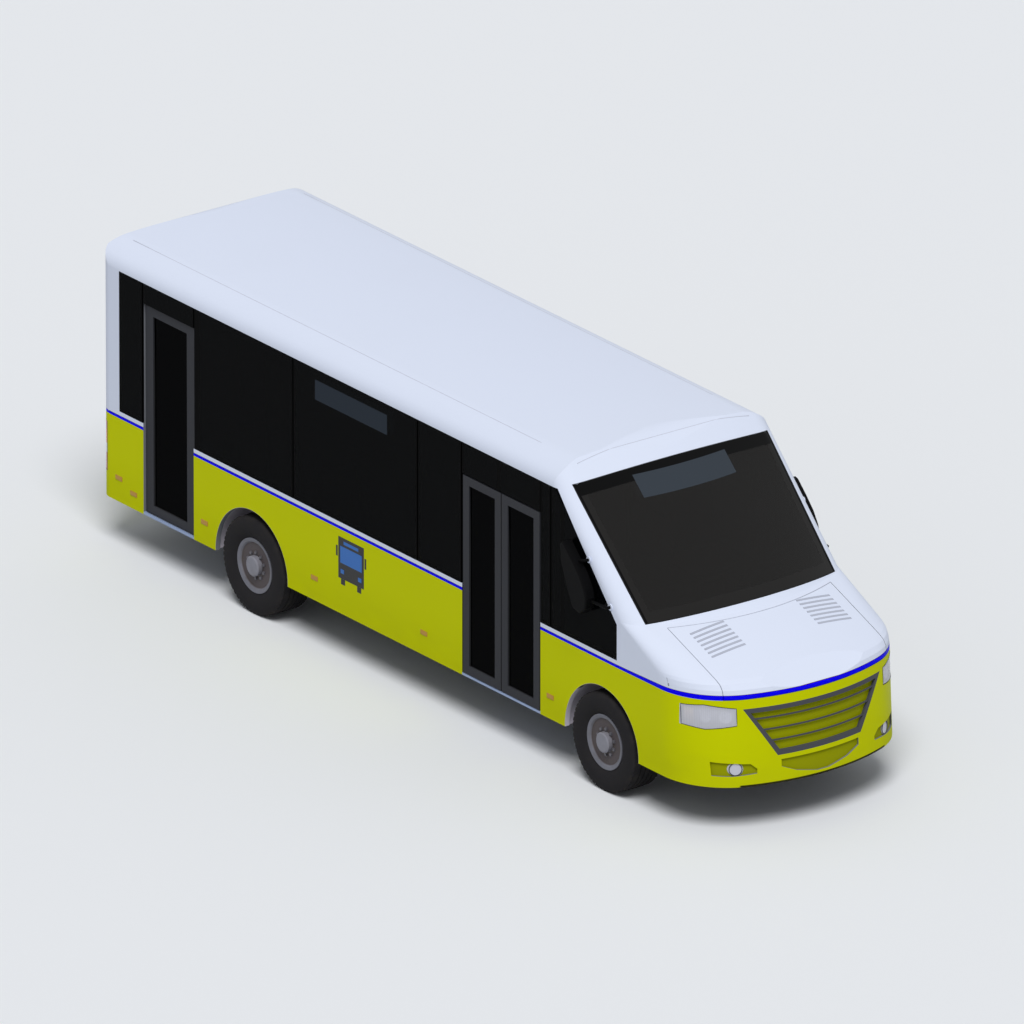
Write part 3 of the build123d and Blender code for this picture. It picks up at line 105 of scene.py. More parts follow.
def srgb(red: int, green: int, blue: int) -> Colour:
    """A colour written in 0 to 255 screen values, as linear light."""
    return (linear(red), linear(green), linear(blue), 1.0)


def scaled(colour: Colour, gain: float, lift: float = 0.0) -> Colour:
    """A colour made paler or darker, its channels no higher than 1."""
    red, green, blue = (min(1.0, channel * gain + lift) for channel in colour[:3])
    return (red, green, blue, 1.0)


def part_way(first: float, second: float, share: float) -> float:
    """The value at a share of the way from the first to the second."""
    return first + (second - first) * share


# ---------------- shader maths
class Num:
    """A number that varies over a surface. Arithmetic on it adds Math nodes."""

    def __init__(self, paint: "Paint", socket: Socket) -> None:
        """Wraps one output socket of a material."""
        self.paint = paint
        self.socket = socket

    def math(self, operation: str, *others: "Num | float") -> "Num":
        """The result of a Math node on this number and others."""
        node = self.paint.node("ShaderNodeMath", {"operation": operation}, [self, *others])
        return Num(self.paint, node.outputs[0])

    def __add__(self, other: "Num | float") -> "Num":
        """Sum."""
        return self.math("ADD", other)

    __radd__ = __add__

    def __sub__(self, other: "Num | float") -> "Num":
        """Difference."""
        return self.math("SUBTRACT", other)

    def __rsub__(self, other: float) -> "Num":
        """Difference, reflected."""
        return self.math("MULTIPLY", -1.0).math("ADD", other)

    def __mul__(self, other: "Num | float") -> "Num":
        """Product."""
        return self.math("MULTIPLY", other)

    __rmul__ = __mul__

    def __truediv__(self, other: "Num | float") -> "Num":
        """Quotient."""
        return self.math("DIVIDE", other)

    def __abs__(self) -> "Num":
        """Size without sign."""
        return self.math("ABSOLUTE")

    def root(self) -> "Num":
        """Square root."""
        return self.math("SQRT")

    def at_least(self, other: "Num | float") -> "Num":
        """The larger of two values."""
        return self.math("MAXIMUM", other)

    def at_most(self, other: "Num | float") -> "Num":
        """The smaller of two values."""
        return self.math("MINIMUM", other)

    def wrap(self, step: float) -> "Num":
        """The distance from the nearest whole multiple of step."""
        return self.math("PINGPONG", step / 2)

    def above(self, edge: float, soft: float = 0.0005) -> "Num":
        """A mask that turns from 0 to 1 as the value passes an edge.

        Args:
            edge: where the mask is one half.
            soft: half the width of the turn.

        Returns:
            The mask.
        """
        limits = {"Value": self, "From Min": edge - soft, "From Max": edge + soft}
        node = self.paint.node("ShaderNodeMapRange", {"interpolation_type": "SMOOTHSTEP"}, limits)
        return Num(self.paint, node.outputs[0])

    def below(self, edge: float, soft: float = 0.0005) -> "Num":
        """The opposite of above."""
        return 1 - self.above(edge, soft)

    def between(self, low: float, high: float, soft: float = 0.0005) -> "Num":
        """A mask that is 1 between two edges."""
        return self.above(low, soft) * self.below(high, soft)


@dataclass(frozen=True)
class Place:
    """The object coordinates and the object-space normal at a point of a surface."""

    x: Num
    y: Num
    z: Num
    normal: tuple[Num, Num, Num]
    vector: Socket


class Nodes:
    """A node tree under construction."""

    def __init__(self, tree: bpy.types.NodeTree) -> None:
        """Takes a tree and empties it."""
        self.tree = tree
        tree.nodes.clear()

    def link(self, source: Any, target: Socket) -> None:
        """Joins two sockets, or a number and a socket."""
        self.tree.links.new(source.socket if isinstance(source, Num) else source, target)

    def feed(self, socket: Socket, value: Any) -> None:
        """Gives a socket a link or a plain value.

        Args:
            socket: the input.
            value: a number or socket to link, or a value to set.
        """
        if isinstance(value, (Num, Socket)):
            self.link(value, socket)
        else:
            socket.default_value = value

    def node(
        self,
        kind: str,
        settings: dict[str, Any] | None = None,
        inputs: dict[Any, Any] | Sequence[Any] | None = None,
    ) -> bpy.types.Node:
        """Adds any node.

        Args:
            kind: the node's type.
            settings: its own settings, set before its sockets.
            inputs: values or links of its sockets, by name or in order.

        Returns:
            The node.
        """
        node = self.tree.nodes.new(kind)
        for key, value in (settings or {}).items():
            setattr(node, key, value)
        pairs = inputs.items() if isinstance(inputs, dict) else enumerate(inputs or [])
        for key, value in pairs:
            self.feed(node.inputs[key], value)
        return node


class Paint(Nodes):
    """A material under construction, with the few node calls that every finish uses."""

    def __init__(self, name: str) -> None:
        """Starts a material with a principled shader.

        Args:
            name: the material's name.
        """
        self.material = bpy.data.materials.new(name)
        self.material.use_nodes = True
        super().__init__(self.material.node_tree)
        self.shader = self.node("ShaderNodeBsdfPrincipled")
        self.node("ShaderNodeOutputMaterial", None, {"Surface": self.shader.outputs[0]})
        self._place: Place | None = None

    @property
    def place(self) -> Place:
        """Object coordinates and normal.

        Returns:
            The coordinates, made once for a material.
        """
        if self._place is None:
            source = self.node("ShaderNodeTexCoord")
            spot = self.node("ShaderNodeSeparateXYZ", None, [source.outputs["Object"]])
            turn = self.node("ShaderNodeSeparateXYZ", None, [source.outputs["Normal"]])
            x, y, z = (Num(self, out) for out in spot.outputs)
            normal = tuple(Num(self, out) for out in turn.outputs)
            self._place = Place(x, y, z, normal, source.outputs["Object"])
        return self._place

    def noise(self, scale: float, detail: float = 2.0, stretch: Point = (1.0, 1.0, 1.0)) -> Num:
        """A smooth random field from 0 to 1.

        Args:
            scale: cells in a metre.
            detail: octaves.
            stretch: how the cells are squeezed along X, Y and Z.

        Returns:
            The field.
        """
        mapping = self.node("ShaderNodeMapping", None, {"Vector": self.place.vector, "Scale": stretch})
        inputs = {"Vector": mapping.outputs[0], "Scale": scale, "Detail": detail}
        return Num(self, self.node("ShaderNodeTexNoise", None, inputs).outputs["Fac"])

    def cells(self, scale: float) -> Num:
        """A field of random cells, 0 at their middles."""
        node = self.node("ShaderNodeTexVoronoi", None, {"Vector": self.place.vector, "Scale": scale})
        return Num(self, node.outputs["Distance"])

    def mix(self, share: "Num | float", first: Any, second: Any) -> Socket:
        """A colour between two colours, by the share of the second."""
        node = self.node("ShaderNodeMix", {"data_type": "RGBA"}, {0: share, 6: first, 7: second})
        return node.outputs[2]

    def surface(self, **inputs: Any) -> None:
        """Feeds the principled shader's sockets, named with underscores for spaces."""
        for key, value in inputs.items():
            self.feed(self.shader.inputs[key.replace("_", " ")], value)

    def bump(self, height: Num, depth: float, strength: float = 1.0) -> None:
        """Raises the surface by a height field, depth metres for a height of 1."""
        node = self.node("ShaderNodeBump", None, {"Strength": strength, "Distance": depth, "Height": height})
        self.link(node.outputs[0], self.shader.inputs["Normal"])


# ---------------- finishes
@dataclass(frozen=True)
class Finish:
    """What every finish shares: its name and the making of its material."""

    name: str

    def lay(self, paint: Paint) -> None:
        """Wires the material, in each finish's own way."""
        raise NotImplementedError

    def make(self) -> Material:
        """Makes the material.

        Returns:
            The finished material.
        """
        paint = Paint(self.name)
        self.lay(paint)
        return paint.material


@dataclass(frozen=True)
class Livery(Finish):
    """The body's paint: white above, yellow below, a blue stripe with a thin dark red line on it.

    It varies with height alone, so that every panel meets its neighbours. Inside, the panels are lined.
    """

    name: str = "body_livery"
    wheels: tuple[Span, ...] = ()
    white: Colour = srgb(222, 229, 246)
    yellow: Colour = srgb(204, 211, 0)
    blue: Colour = srgb(8, 2, 246)
    hairline: Colour = srgb(74, 20, 36)
    lining: Colour = srgb(122, 124, 130)
    bed: Colour = srgb(9, 9, 10)
    jamb: Colour = srgb(48, 48, 54)
    arch: Colour = srgb(206, 200, 212)
    # painted shade: near black on the wheel arches' faces that look down
    arch_top_painted_shade: Colour = srgb(15, 15, 16)
    dust: Colour = srgb(128, 122, 40)
    dust_top: float = 0.70
    dust_fade: float = 0.26
    dust_share: float = 0.22
    patch_share: float = 0.03
    side_stripe: Span = (1.252, 1.278)
    nose_stripe: Span = (1.259, 1.301)
    hairline_height: float = 0.004
    nose_from_x: float = 3.55
    nose_blend: float = 0.55
    band: Span = (1.3195, 2.6705)
    bed_y: Span = (1.1685, 1.1715)
    bed_facing: float = 0.985
    jamb_y: Span = (1.12, 1.1785)
    jamb_top: float = 2.50
    jamb_facing: float = 0.95
    arch_radius: float = 0.5412
    arch_facing: float = -0.74
    inside_centre_z: float = 1.5
    inside_end_share: float = 0.35
    inside_edge: float = -0.02

    def scheme(self, paint: Paint) -> Socket:
        """The painted colours outside.

        Args:
            paint: the material.

        Returns:
            The colour.
        """
        at = paint.place
        nose = at.x.above(self.nose_from_x, self.nose_blend)
        (side_low, side_high), (nose_low, nose_high) = self.side_stripe, self.nose_stripe
        low = side_low + nose * (nose_low - side_low)
        high = side_high + nose * (nose_high - side_high)
        colour = paint.mix((at.z - low).above(0.0), self.yellow, self.blue)
        colour = paint.mix((at.z - high).above(0.0), colour, self.hairline)
        return paint.mix((at.z - high).above(self.hairline_height), colour, self.white)

    def dress(self, paint: Paint) -> Socket:
        """The whole colour: the scheme with road dust, glazing bed, door jambs, wheel arches with painted
        shade on their faces that look down, and lining.

        Args:
            paint: the material.

        Returns:
            The colour.
        """
        at = paint.place
        nx, ny, nz = at.normal
        aside = abs(at.y)
        film = paint.noise(3.0, detail=4.0, stretch=(1.0, 1.0, 2.5))
        splashed = at.z.below(self.dust_top, self.dust_fade) * (film * self.dust_share)
        colour = paint.mix(splashed, self.scheme(paint), self.dust)
        patches = (paint.noise(1.3, detail=3.0) - 0.5) * self.patch_share
        colour = paint.mix(patches.at_least(0.0), colour, self.dust)
        band = at.z.between(*self.band) * aside.between(*self.bed_y)
        colour = paint.mix(band * abs(ny).above(self.bed_facing, 0.005), colour, self.bed)
        jamb = aside.between(*self.jamb_y) * abs(nx).above(self.jamb_facing, 0.02)
        colour = paint.mix(jamb * at.z.below(self.jamb_top), colour, self.jamb)
        for wheel_x, wheel_z in self.wheels:
            dx, dz = at.x - wheel_x, at.z - wheel_z
            near = (dx * dx + dz * dz).root().below(self.arch_radius)
            # inside the arch, faces that look down get painted shade, near black
            arch = paint.mix(nz.below(self.arch_facing, 0.02), self.arch, self.arch_top_painted_shade)
            colour = paint.mix(near * aside.above(self.jamb_y[0]), colour, arch)
        outward = nx * at.x * self.inside_end_share + ny * at.y + nz * (at.z - self.inside_centre_z)
        return paint.mix(outward.below(self.inside_edge, 0.01), colour, self.lining)

    def lay(self, paint: Paint) -> None:
        """Wires the finish.

        Args:
            paint: the material.
        """
        peel = paint.noise(190.0, detail=1.0)
        soil = paint.noise(2.2, detail=3.0)
        paint.surface(
            Base_Color=self.dress(paint),
            Roughness=0.34 + soil * 0.10 + paint.place.z.below(0.75, 0.3) * 0.12,
            Specular_IOR_Level=0.02,
            Coat_Roughness=0.1,
            Coat_Weight=0.04 - paint.place.z.below(0.7, 0.25) * 0.03,
        )
        paint.bump(peel + paint.noise(2.0, detail=1.0) * 0.8, 0.0004, 0.35)


@dataclass(frozen=True)
class NoseLivery(Livery):
    """The livery with painted shade in its recesses: behind the grille, in the intake and round the fog
    lamps.
    """

    name: str = "nose_livery"
    # painted shade: the yellow darkened for the recesses
    recess_painted_shade: Colour = srgb(153, 158, 4)
    lip: Colour = srgb(14, 14, 15)
    lip_top: float = 0.462
    lip_half: float = 0.80
    nose_x: float = 4.59
    nose_foot: float = 0.445
    lean: float = 0.05444
    front_radius: float = 2.05
    corner_radius: float = 0.70
    corner: Span = (3.8018, 0.48)
    corner_slope: float = 0.3804
    recess_depth: Span = (0.009, 0.045)

    def scheme(self, paint: Paint) -> Socket:
        """The painted colours, with painted shade where the surface lies back from the nose's outline.

        Args:
            paint: the material.

        Returns:
            The colour.
        """
        at = paint.place
        plumb = at.x + (at.z - self.nose_foot) * self.lean
        centre = self.nose_x - self.front_radius
        ahead, aside = plumb - centre, abs(at.y)
        front = self.front_radius - (ahead * ahead + aside * aside).root()
        from_x, from_y = plumb - self.corner[0], aside - self.corner[1]
        round_corner = self.corner_radius - (from_x * from_x + from_y * from_y).root()
        at_corner = (aside - ahead * self.corner_slope).above(0.0, 0.01)
        depth = front + (round_corner - front) * at_corner
        shallow, deep = self.recess_depth
        sunk = depth.above(shallow, 0.003) * depth.below(deep, 0.002)
        # recesses get painted shade, a darker yellow
        colour = paint.mix(sunk, super().scheme(paint), self.recess_painted_shade)
        return paint.mix(at.z.below(self.lip_top) * aside.below(self.lip_half, 0.01), colour, self.lip)


@dataclass(frozen=True)
class PaneLayout:
    """Where the side panes are black round their edges, and where their route sign shows."""

    rear_joints: tuple[float, ...] = (-4.287, -3.934, -3.160, -3.103, -1.675, 0.180)
    front_joints: tuple[float, ...] = (0.832, 1.382, 2.001, 2.150, 2.324, 3.120)
    joint_half: float = 0.029
    clear_z: Span = (1.350, 2.654)
    sign_x: Span = (-1.346, -0.274)
    sign_z: Span = (2.375, 2.566)

    def border(self, paint: Paint) -> Num:
        """Black borders where side panes meet and along their upper and lower edges.

        Args:
            paint: the material.

        Returns:
            The mask.
        """
        at = paint.place
        foot, head = self.clear_z
        mask = at.z.below(foot, 0.0015) + at.z.above(head, 0.0015)
        for joint in self.rear_joints + self.front_joints:
            mask = mask + abs(at.x - joint).below(self.joint_half, 0.001)
        return mask.at_most(1.0)

    def veil(self, paint: Paint) -> Num:
        """Where a pane hides the flange it is bonded to: under its borders."""
        return self.border(paint)

    def sign(self, paint: Paint) -> Num:
        """The lit field of the route sign behind a right-hand side pane."""
        at = paint.place
        return at.x.between(*self.sign_x) * at.z.between(*self.sign_z) * at.y.below(0.0)


@dataclass(frozen=True)
class ScreenLayout:
    """Where the windscreen is black round its edges, and where its route sign shows."""

    head_z: float = 2.768
    head_bow: float = 0.048
    foot_z: float = 1.762
    foot_bow: float = 0.0458
    side_y: float = 1.045
    side_foot_z: float = 1.735
    side_lean: float = 0.0307
    head_border: float = 0.085
    side_border: float = 0.022
    flange: float = 0.078
    sign_half: float = 0.510
    sign_z: Span = (2.550, 2.711)

    def edges(self, paint: Paint) -> tuple[Num, Num, Num]:
        """Distances from the windscreen's edges.

        Args:
            paint: the material.

        Returns:
            How far a point lies past the head, past a side and above the foot.
        """
        at = paint.place
        head = at.z - (self.head_z - at.y * at.y * self.head_bow)
        side = abs(at.y) - (self.side_y + (at.z - self.side_foot_z) * self.side_lean)
        return head, side, at.z + at.y * at.y * self.foot_bow - self.foot_z

    def border(self, paint: Paint) -> Num:
        """The black border: wide along the head, narrow down the sides."""
        head, side, _ = self.edges(paint)
        return (head.above(-self.head_border, 0.004) + side.above(-self.side_border, 0.002)).at_most(1.0)

    def veil(self, paint: Paint) -> Num:
        """Where the windscreen hides the flange it is bonded to.

        Args:
            paint: the material.

        Returns:
            The mask.
        """
        head, side, foot = self.edges(paint)
        mask = head.above(-self.head_border) + side.above(-self.flange) + foot.below(self.flange)
        return mask.at_most(1.0)

    def sign(self, paint: Paint) -> Num:
        """The lit field of the route sign in the windscreen's head."""
        at = paint.place
        return abs(at.y).below(self.sign_half) * at.z.between(*self.sign_z)


@dataclass(frozen=True)
class Glazing(Finish):
    """Dark glass, with a black ceramic border and a lit sign where a layout gives them."""

    tint: Colour
    clearness: float
    gloss: float
    layout: PaneLayout | ScreenLayout | None = None
    border: Colour = srgb(1, 1, 1)
    sign: Colour = srgb(47, 54, 63)
    roughness: float = 0.06

    def lay(self, paint: Paint) -> None:
        """Wires the finish.

        Args:
            paint: the material.
        """
        colour: Any = paint.mix(paint.noise(1.6) * 0.5, self.tint, scaled(self.tint, 0.8))
        alpha: Any = 1.0 - self.clearness
        if self.layout is not None:
            sign = self.layout.sign(paint)
            colour = paint.mix(self.layout.border(paint), colour, self.border)
            colour = paint.mix(sign, colour, self.sign)
            alpha = (self.layout.veil(paint) + sign).at_most(1.0) * self.clearness + (1.0 - self.clearness)
        paint.surface(
            Base_Color=colour,
            Roughness=self.roughness + paint.noise(5.0) * 0.03,
            Specular_IOR_Level=self.gloss,
            Alpha=alpha,
        )
        paint.bump(paint.noise(1.1, detail=1.0), 0.002, 0.25)


@dataclass(frozen=True)
class Moulding(Finish):
    """Grained plastic or rubber, with painted shade in another colour on faces that look down where one is
    given.
    """

    colour: Colour
    roughness: float = 0.55
    grain: float = 420.0
    depth: float = 0.0003
    wear: float = 0.08
    gloss: float = 0.4
    # painted shade: a darker colour for the faces that look down
    under: Colour | None = None
    painted_shade_facing: float = -0.74

    def lay(self, paint: Paint) -> None:
        """Wires the finish.

        Args:
            paint: the material.
        """
        patches = paint.noise(4.0, detail=4.0)
        colour = paint.mix(patches * self.wear * 2.0, self.colour, scaled(self.colour, 1.5, 0.02))
        if self.under is not None:
            # faces that look down get the painted shade colour
            colour = paint.mix(paint.place.normal[2].below(self.painted_shade_facing, 0.02), colour, self.under)
        paint.surface(
            Base_Color=colour,
            Roughness=self.roughness + (patches - 0.5) * 0.14,
            Specular_IOR_Level=self.gloss,
        )
        paint.bump(paint.cells(self.grain) + paint.noise(self.grain * 0.6), self.depth, 0.5)


@dataclass(frozen=True)
class MirrorShell(Finish):
    """Black mirror moulding on feet in the body's white."""

    name: str = "mirror_shell"
    shell: Colour = srgb(10, 10, 11)
    foot: Colour = srgb(222, 229, 246)
    foot_y: float = 1.1905

    def lay(self, paint: Paint) -> None:
        """Wires the finish.

        Args:
            paint: the material.
        """
        grain = paint.cells(420.0)
        at_foot = abs(paint.place.y).below(self.foot_y)
        paint.surface(
            Base_Color=paint.mix(at_foot, self.shell, self.foot),
            Roughness=0.55 + grain * 0.1,
            Specular_IOR_Level=0.06,
        )
        paint.bump(grain, 0.0003, 0.5)


@dataclass(frozen=True)
class Metal(Finish):
    """Bare or painted metal, finely uneven and grimy in patches."""

    colour: Colour
    metallic: float = 0.0
    roughness: float = 0.4
    grime: Colour = srgb(46, 41, 35)
    grime_share: float = 0.15
    coat: float = 0.0

    def lay(self, paint: Paint) -> None:
        """Wires the finish.

        Args:
            paint: the material.
        """
        brushed = paint.noise(60.0, detail=3.0)
        soil = paint.noise(7.0, detail=5.0)
        paint.surface(
            Base_Color=paint.mix(soil.above(0.6, 0.25) * self.grime_share, self.colour, self.grime),
            Metallic=self.metallic,
            Roughness=self.roughness + (brushed - 0.5) * 0.16 + soil.above(0.6, 0.3) * 0.1,
            Coat_Weight=self.coat,
        )
        paint.bump(brushed, 0.0002, 0.4)


@dataclass(frozen=True)
class RimPaint(Finish):
    """Painted steel of one axle's rims: a paler flange, a dark dished disc and a paler hub cap."""

    axle_x: float
    axle_z: float
    flange: Colour = srgb(120, 121, 131)
    disc: Colour = srgb(86, 79, 82)
    hub: Colour = srgb(142, 142, 152)
    dust: Colour = srgb(92, 84, 74)
    disc_radius: float = 0.214
    hub_radius: float = 0.0955
    nut_ring: Span = (0.10, 0.125)
    gutter: Span = (0.19, 0.22)

    def lay(self, paint: Paint) -> None:
        """Wires the finish.

        Args:
            paint: the material.
        """
        at = paint.place
        dx, dz = at.x - self.axle_x, at.z - self.axle_z
        radius = (dx * dx + dz * dz).root()
        colour = paint.mix(radius.above(self.hub_radius, 0.001), self.hub, self.disc)
        colour = paint.mix(radius.above(self.disc_radius, 0.004), colour, self.flange)
        soil = paint.noise(14.0, detail=5.0)
        ring = radius.between(*self.nut_ring, 0.02) + radius.between(*self.gutter, 0.02)
        colour = paint.mix((soil.above(0.5, 0.3) * (0.2 + ring * 0.35)).at_most(0.6), colour, self.dust)
        paint.surface(Base_Color=colour, Metallic=0.1, Roughness=0.42 + soil * 0.16, Specular_IOR_Level=0.15)
        paint.bump(paint.noise(120.0), 0.0003, 0.35)


@dataclass(frozen=True)
class TyreRubber(Finish):
    """Tyre rubber of one axle: a dusty tread, a darker scuffed sidewall with fine rings."""

    axle_x: float
    axle_z: float
    rubber: Colour = srgb(40, 39, 41)
    dust: Colour = srgb(66, 62, 58)
    tread_radius: float = 0.435
    ring_pitch: float = 0.004
    ring_band: Span = (0.27, 0.40)

    def lay(self, paint: Paint) -> None:
        """Wires the finish.

        Args:
            paint: the material.
        """
        at = paint.place
        dx, dz = at.x - self.axle_x, at.z - self.axle_z
        radius = (dx * dx + dz * dz).root()
        tread = radius.above(self.tread_radius, 0.02)
        soil = paint.noise(11.0, detail=5.0)
        share = soil.above(0.55, 0.25) * (0.12 + tread * 0.3)
        paint.surface(
            Base_Color=paint.mix(share, self.rubber, self.dust),
            Roughness=0.72 + soil * 0.18,
            Specular_IOR_Level=0.08,
        )
        lines = radius.wrap(self.ring_pitch).above(self.ring_pitch / 4, 0.0006)
        rings = lines * radius.between(*self.ring_band, 0.01)
        paint.bump(rings * 0.6 + paint.noise(300.0) * 0.5, 0.0006, 0.5)


@dataclass(frozen=True)
class LampLens(Finish):
    """A lamp's moulded lens with fine flutes."""

    colour: Colour
    flute: float = 0.012
    flutes: Flutes = Flutes.UPRIGHT
    alpha: float = 1.0

    def lay(self, paint: Paint) -> None:
        """Wires the finish.

        Args:
            paint: the material.
        """
        flutes = getattr(paint.place, self.flutes.value).wrap(self.flute) * (2.0 / self.flute)
        paint.surface(
            Base_Color=paint.mix(flutes * 0.5, self.colour, scaled(self.colour, 1.15, 0.01)),
            Roughness=0.12 + paint.noise(20.0) * 0.06,
            Coat_Weight=0.5,
            Coat_Roughness=0.04,
            Alpha=self.alpha,
        )
        paint.bump(flutes * flutes, 0.0012, 0.5)


@dataclass(frozen=True)
class TailCluster(Finish):
    """An upright rear lamp's lens in bands: red below, clear, amber, and red on top."""

    name: str = "tail_cluster"
    red: Colour = srgb(178, 8, 8)
    clear: Colour = srgb(214, 214, 221)
    amber: Colour = srgb(222, 122, 12)
    edges: tuple[float, float, float] = (0.86, 0.95, 1.09)
    flute: float = 0.010

    def lay(self, paint: Paint) -> None:
        """Wires the finish.

        Args:
            paint: the material.
        """
        z = paint.place.z
        colour = self.red
        for edge, tint in zip(self.edges, (self.clear, self.amber, self.red)):
            colour = paint.mix(z.above(edge), colour, tint)
        flutes = z.wrap(self.flute) * (2.0 / self.flute)
        paint.surface(
            Base_Color=colour,
            Roughness=0.15 + paint.noise(20.0) * 0.06,
            Specular_IOR_Level=0.2,
            Coat_Weight=0.15,
            Coat_Roughness=0.04,
        )
        paint.bump(flutes * flutes, 0.001, 0.5)


@dataclass(frozen=True)
class DotDisplay(Finish):
    """A blank dot-matrix sign, faintly lit."""

    name: str = "sign_face"
    face: Colour = srgb(96, 112, 128)
    dot: Colour = srgb(126, 144, 160)
    pitch: float = 0.012
    gap_share: float = 0.22
    lean: float = 0.6
    glow: float = 0.30

    def lay(self, paint: Paint) -> None:
        """Wires the finish.

        Args:
            paint: the material.
        """
        at = paint.place
        gap = self.pitch * self.gap_share
        across = (at.x * self.lean + at.y).wrap(self.pitch).above(gap, 0.0006)
        dots = across * at.z.wrap(self.pitch).above(gap, 0.0006)
        colour = paint.mix(dots, self.face, self.dot)
        paint.surface(Base_Color=colour, Roughness=0.45, Emission_Color=colour, Emission_Strength=self.glow)
        paint.bump(dots, 0.0005, 0.4)


@dataclass(frozen=True)
class Speckle(Finish):
    """Speckled vinyl flooring."""

    name: str = "floor_vinyl"
    base: Colour = srgb(70, 73, 80)
    fleck: Colour = srgb(150, 154, 160)

    def lay(self, paint: Paint) -> None:
        """Wires the finish.

        Args:
            paint: the material.
        """
        flecks = paint.cells(260.0).below(0.16, 0.05) * paint.noise(40.0).above(0.5, 0.1)
        paint.surface(
            Base_Color=paint.mix(flecks * 0.7, self.base, self.fleck),
            Roughness=0.6 + paint.noise(5.0) * 0.2,
        )
        paint.bump(paint.cells(180.0), 0.0004, 0.4)


class Finishes:
    """Every material of the vehicle, made once and asked for by name."""

    def __init__(self, wheel_places: dict[Axle, Span]) -> None:
        """Makes the materials.

        Args:
            wheel_places: each axle's X and Z.
        """
        spots = tuple(wheel_places.values())
        makers = [
            Livery(wheels=spots),
            NoseLivery(wheels=spots),
            Glazing("side_glass", srgb(6, 7, 8), clearness=0.10, gloss=0.02, layout=PaneLayout()),
            Glazing(
                "screen_glass",
                srgb(35, 34, 33),
                clearness=0.14,
                gloss=0.10,
                layout=ScreenLayout(),
                sign=srgb(54, 61, 69),
            ),
            Glazing("door_glass", srgb(2, 2, 3), clearness=0.03, gloss=0.01),
            Moulding("door_paint", srgb(51, 52, 57), roughness=0.45, grain=700.0, wear=0.05, gloss=0.1),
            Moulding("black_moulding", srgb(22, 22, 24), gloss=0.12),
            MirrorShell(),
            Moulding("grille_moulding", srgb(74, 75, 81), roughness=0.5, gloss=0.12),
            Moulding("seal_rubber", srgb(17, 17, 17), roughness=0.75, gloss=0.25),
            Moulding("seat_shell", srgb(46, 66, 120), roughness=0.4, grain=160.0, wear=0.12),
            Moulding(
                "liner",
                srgb(206, 200, 212),
                roughness=0.7,
                grain=90.0,
                depth=0.0008,
                # painted shade: near black on the wheel houses' faces that look down
                under=srgb(15, 15, 16),
            ),
            Moulding("dash_moulding", srgb(58, 60, 66), roughness=0.6),
            Moulding("mirror_glass", srgb(58, 61, 66), roughness=0.05, grain=4.0, depth=0.0, gloss=0.7),
            Moulding("amber_marker", srgb(186, 140, 44), roughness=0.2, grain=500.0),
            Moulding("blank_plate", srgb(226, 226, 222), roughness=0.4, grain=300.0, wear=0.04),
            Metal("step_tread", srgb(150, 168, 203), metallic=0.1, roughness=0.45),
            Metal("chassis_paint", srgb(34, 34, 36), roughness=0.55, grime_share=0.5),
            Metal("axle_iron", srgb(48, 46, 45), metallic=0.3, roughness=0.6, grime_share=0.5),
            Metal("bright_steel", srgb(176, 178, 182), metallic=0.9, roughness=0.28),
            Metal("rail_paint", srgb(214, 180, 22), roughness=0.35, coat=0.3),
            Metal("nut_steel", srgb(104, 102, 108), metallic=0.3, roughness=0.45),
            Metal("tank_skin", srgb(150, 151, 154), metallic=0.8, roughness=0.38),
            # painted shade: the bonnet's white as it looks in the louvre slots
            Metal("louvre_paint", srgb(176, 181, 197), roughness=0.4, grime_share=0.05),
            Metal("seam_sealer", srgb(196, 200, 214), roughness=0.5, grime_share=0.1),
            Moulding("seat_fabric", srgb(38, 44, 66), roughness=0.85, grain=900.0, gloss=0.2),
            Moulding("instrument_face", srgb(12, 12, 14), roughness=0.3, grain=800.0),
            Moulding("pictogram_black", srgb(10, 10, 11), roughness=0.35, grain=700.0, wear=0.02),
            Moulding("pictogram_blue", srgb(30, 104, 186), roughness=0.35, grain=700.0, wear=0.04),
            Moulding("reflector_panel", srgb(196, 198, 208), roughness=0.3, grain=300.0),
            Metal("bowl_chrome", srgb(226, 228, 236), metallic=0.6, roughness=0.15),
            LampLens("headlamp_lens", srgb(216, 217, 227), alpha=0.68),
            LampLens("fog_lens", srgb(196, 197, 209), flute=0.008),
            LampLens("amber_lens", srgb(212, 196, 178), flutes=Flutes.LEVEL),
            TailCluster(),
            DotDisplay(),
            Speckle(),
        ]
        for axle, (x, z) in wheel_places.items():
            makers.append(RimPaint(f"rim_paint_{axle.value}", x, z))
            makers.append(TyreRubber(f"tyre_rubber_{axle.value}", x, z))
        self.materials = {maker.name: maker.make() for maker in makers}

    def __getitem__(self, name: str) -> Material:
        """The material of that name."""
        return self.materials[name]


# ---------------- mesh making
def finish_mesh(mesh: Mesh, name: str, material: Material, smooth: bool) -> Piece:
    """Makes a mesh an object at the origin.

    Args:
        mesh: the mesh, in the frame's own axes.
        name: the piece's name.
        material: its finish.
        smooth: whether its faces are shaded smooth.

    Returns:
        The object.
    """
    mesh.name = name
    mesh.materials.clear()
    mesh.materials.append(material)
    mesh.polygons.foreach_set("use_smooth", [smooth] * len(mesh.polygons))
    piece = bpy.data.objects.new(name, mesh)
    bpy.context.scene.collection.objects.link(piece)
    return piece


def written(build: Build) -> Mesh:
    """Writes a bmesh out as it is and frees it.

    Args:
        build: the bmesh.

    Returns:
        The mesh.
    """
    mesh = bpy.data.meshes.new("piece")
    build.to_mesh(mesh)
    build.free()
    return mesh


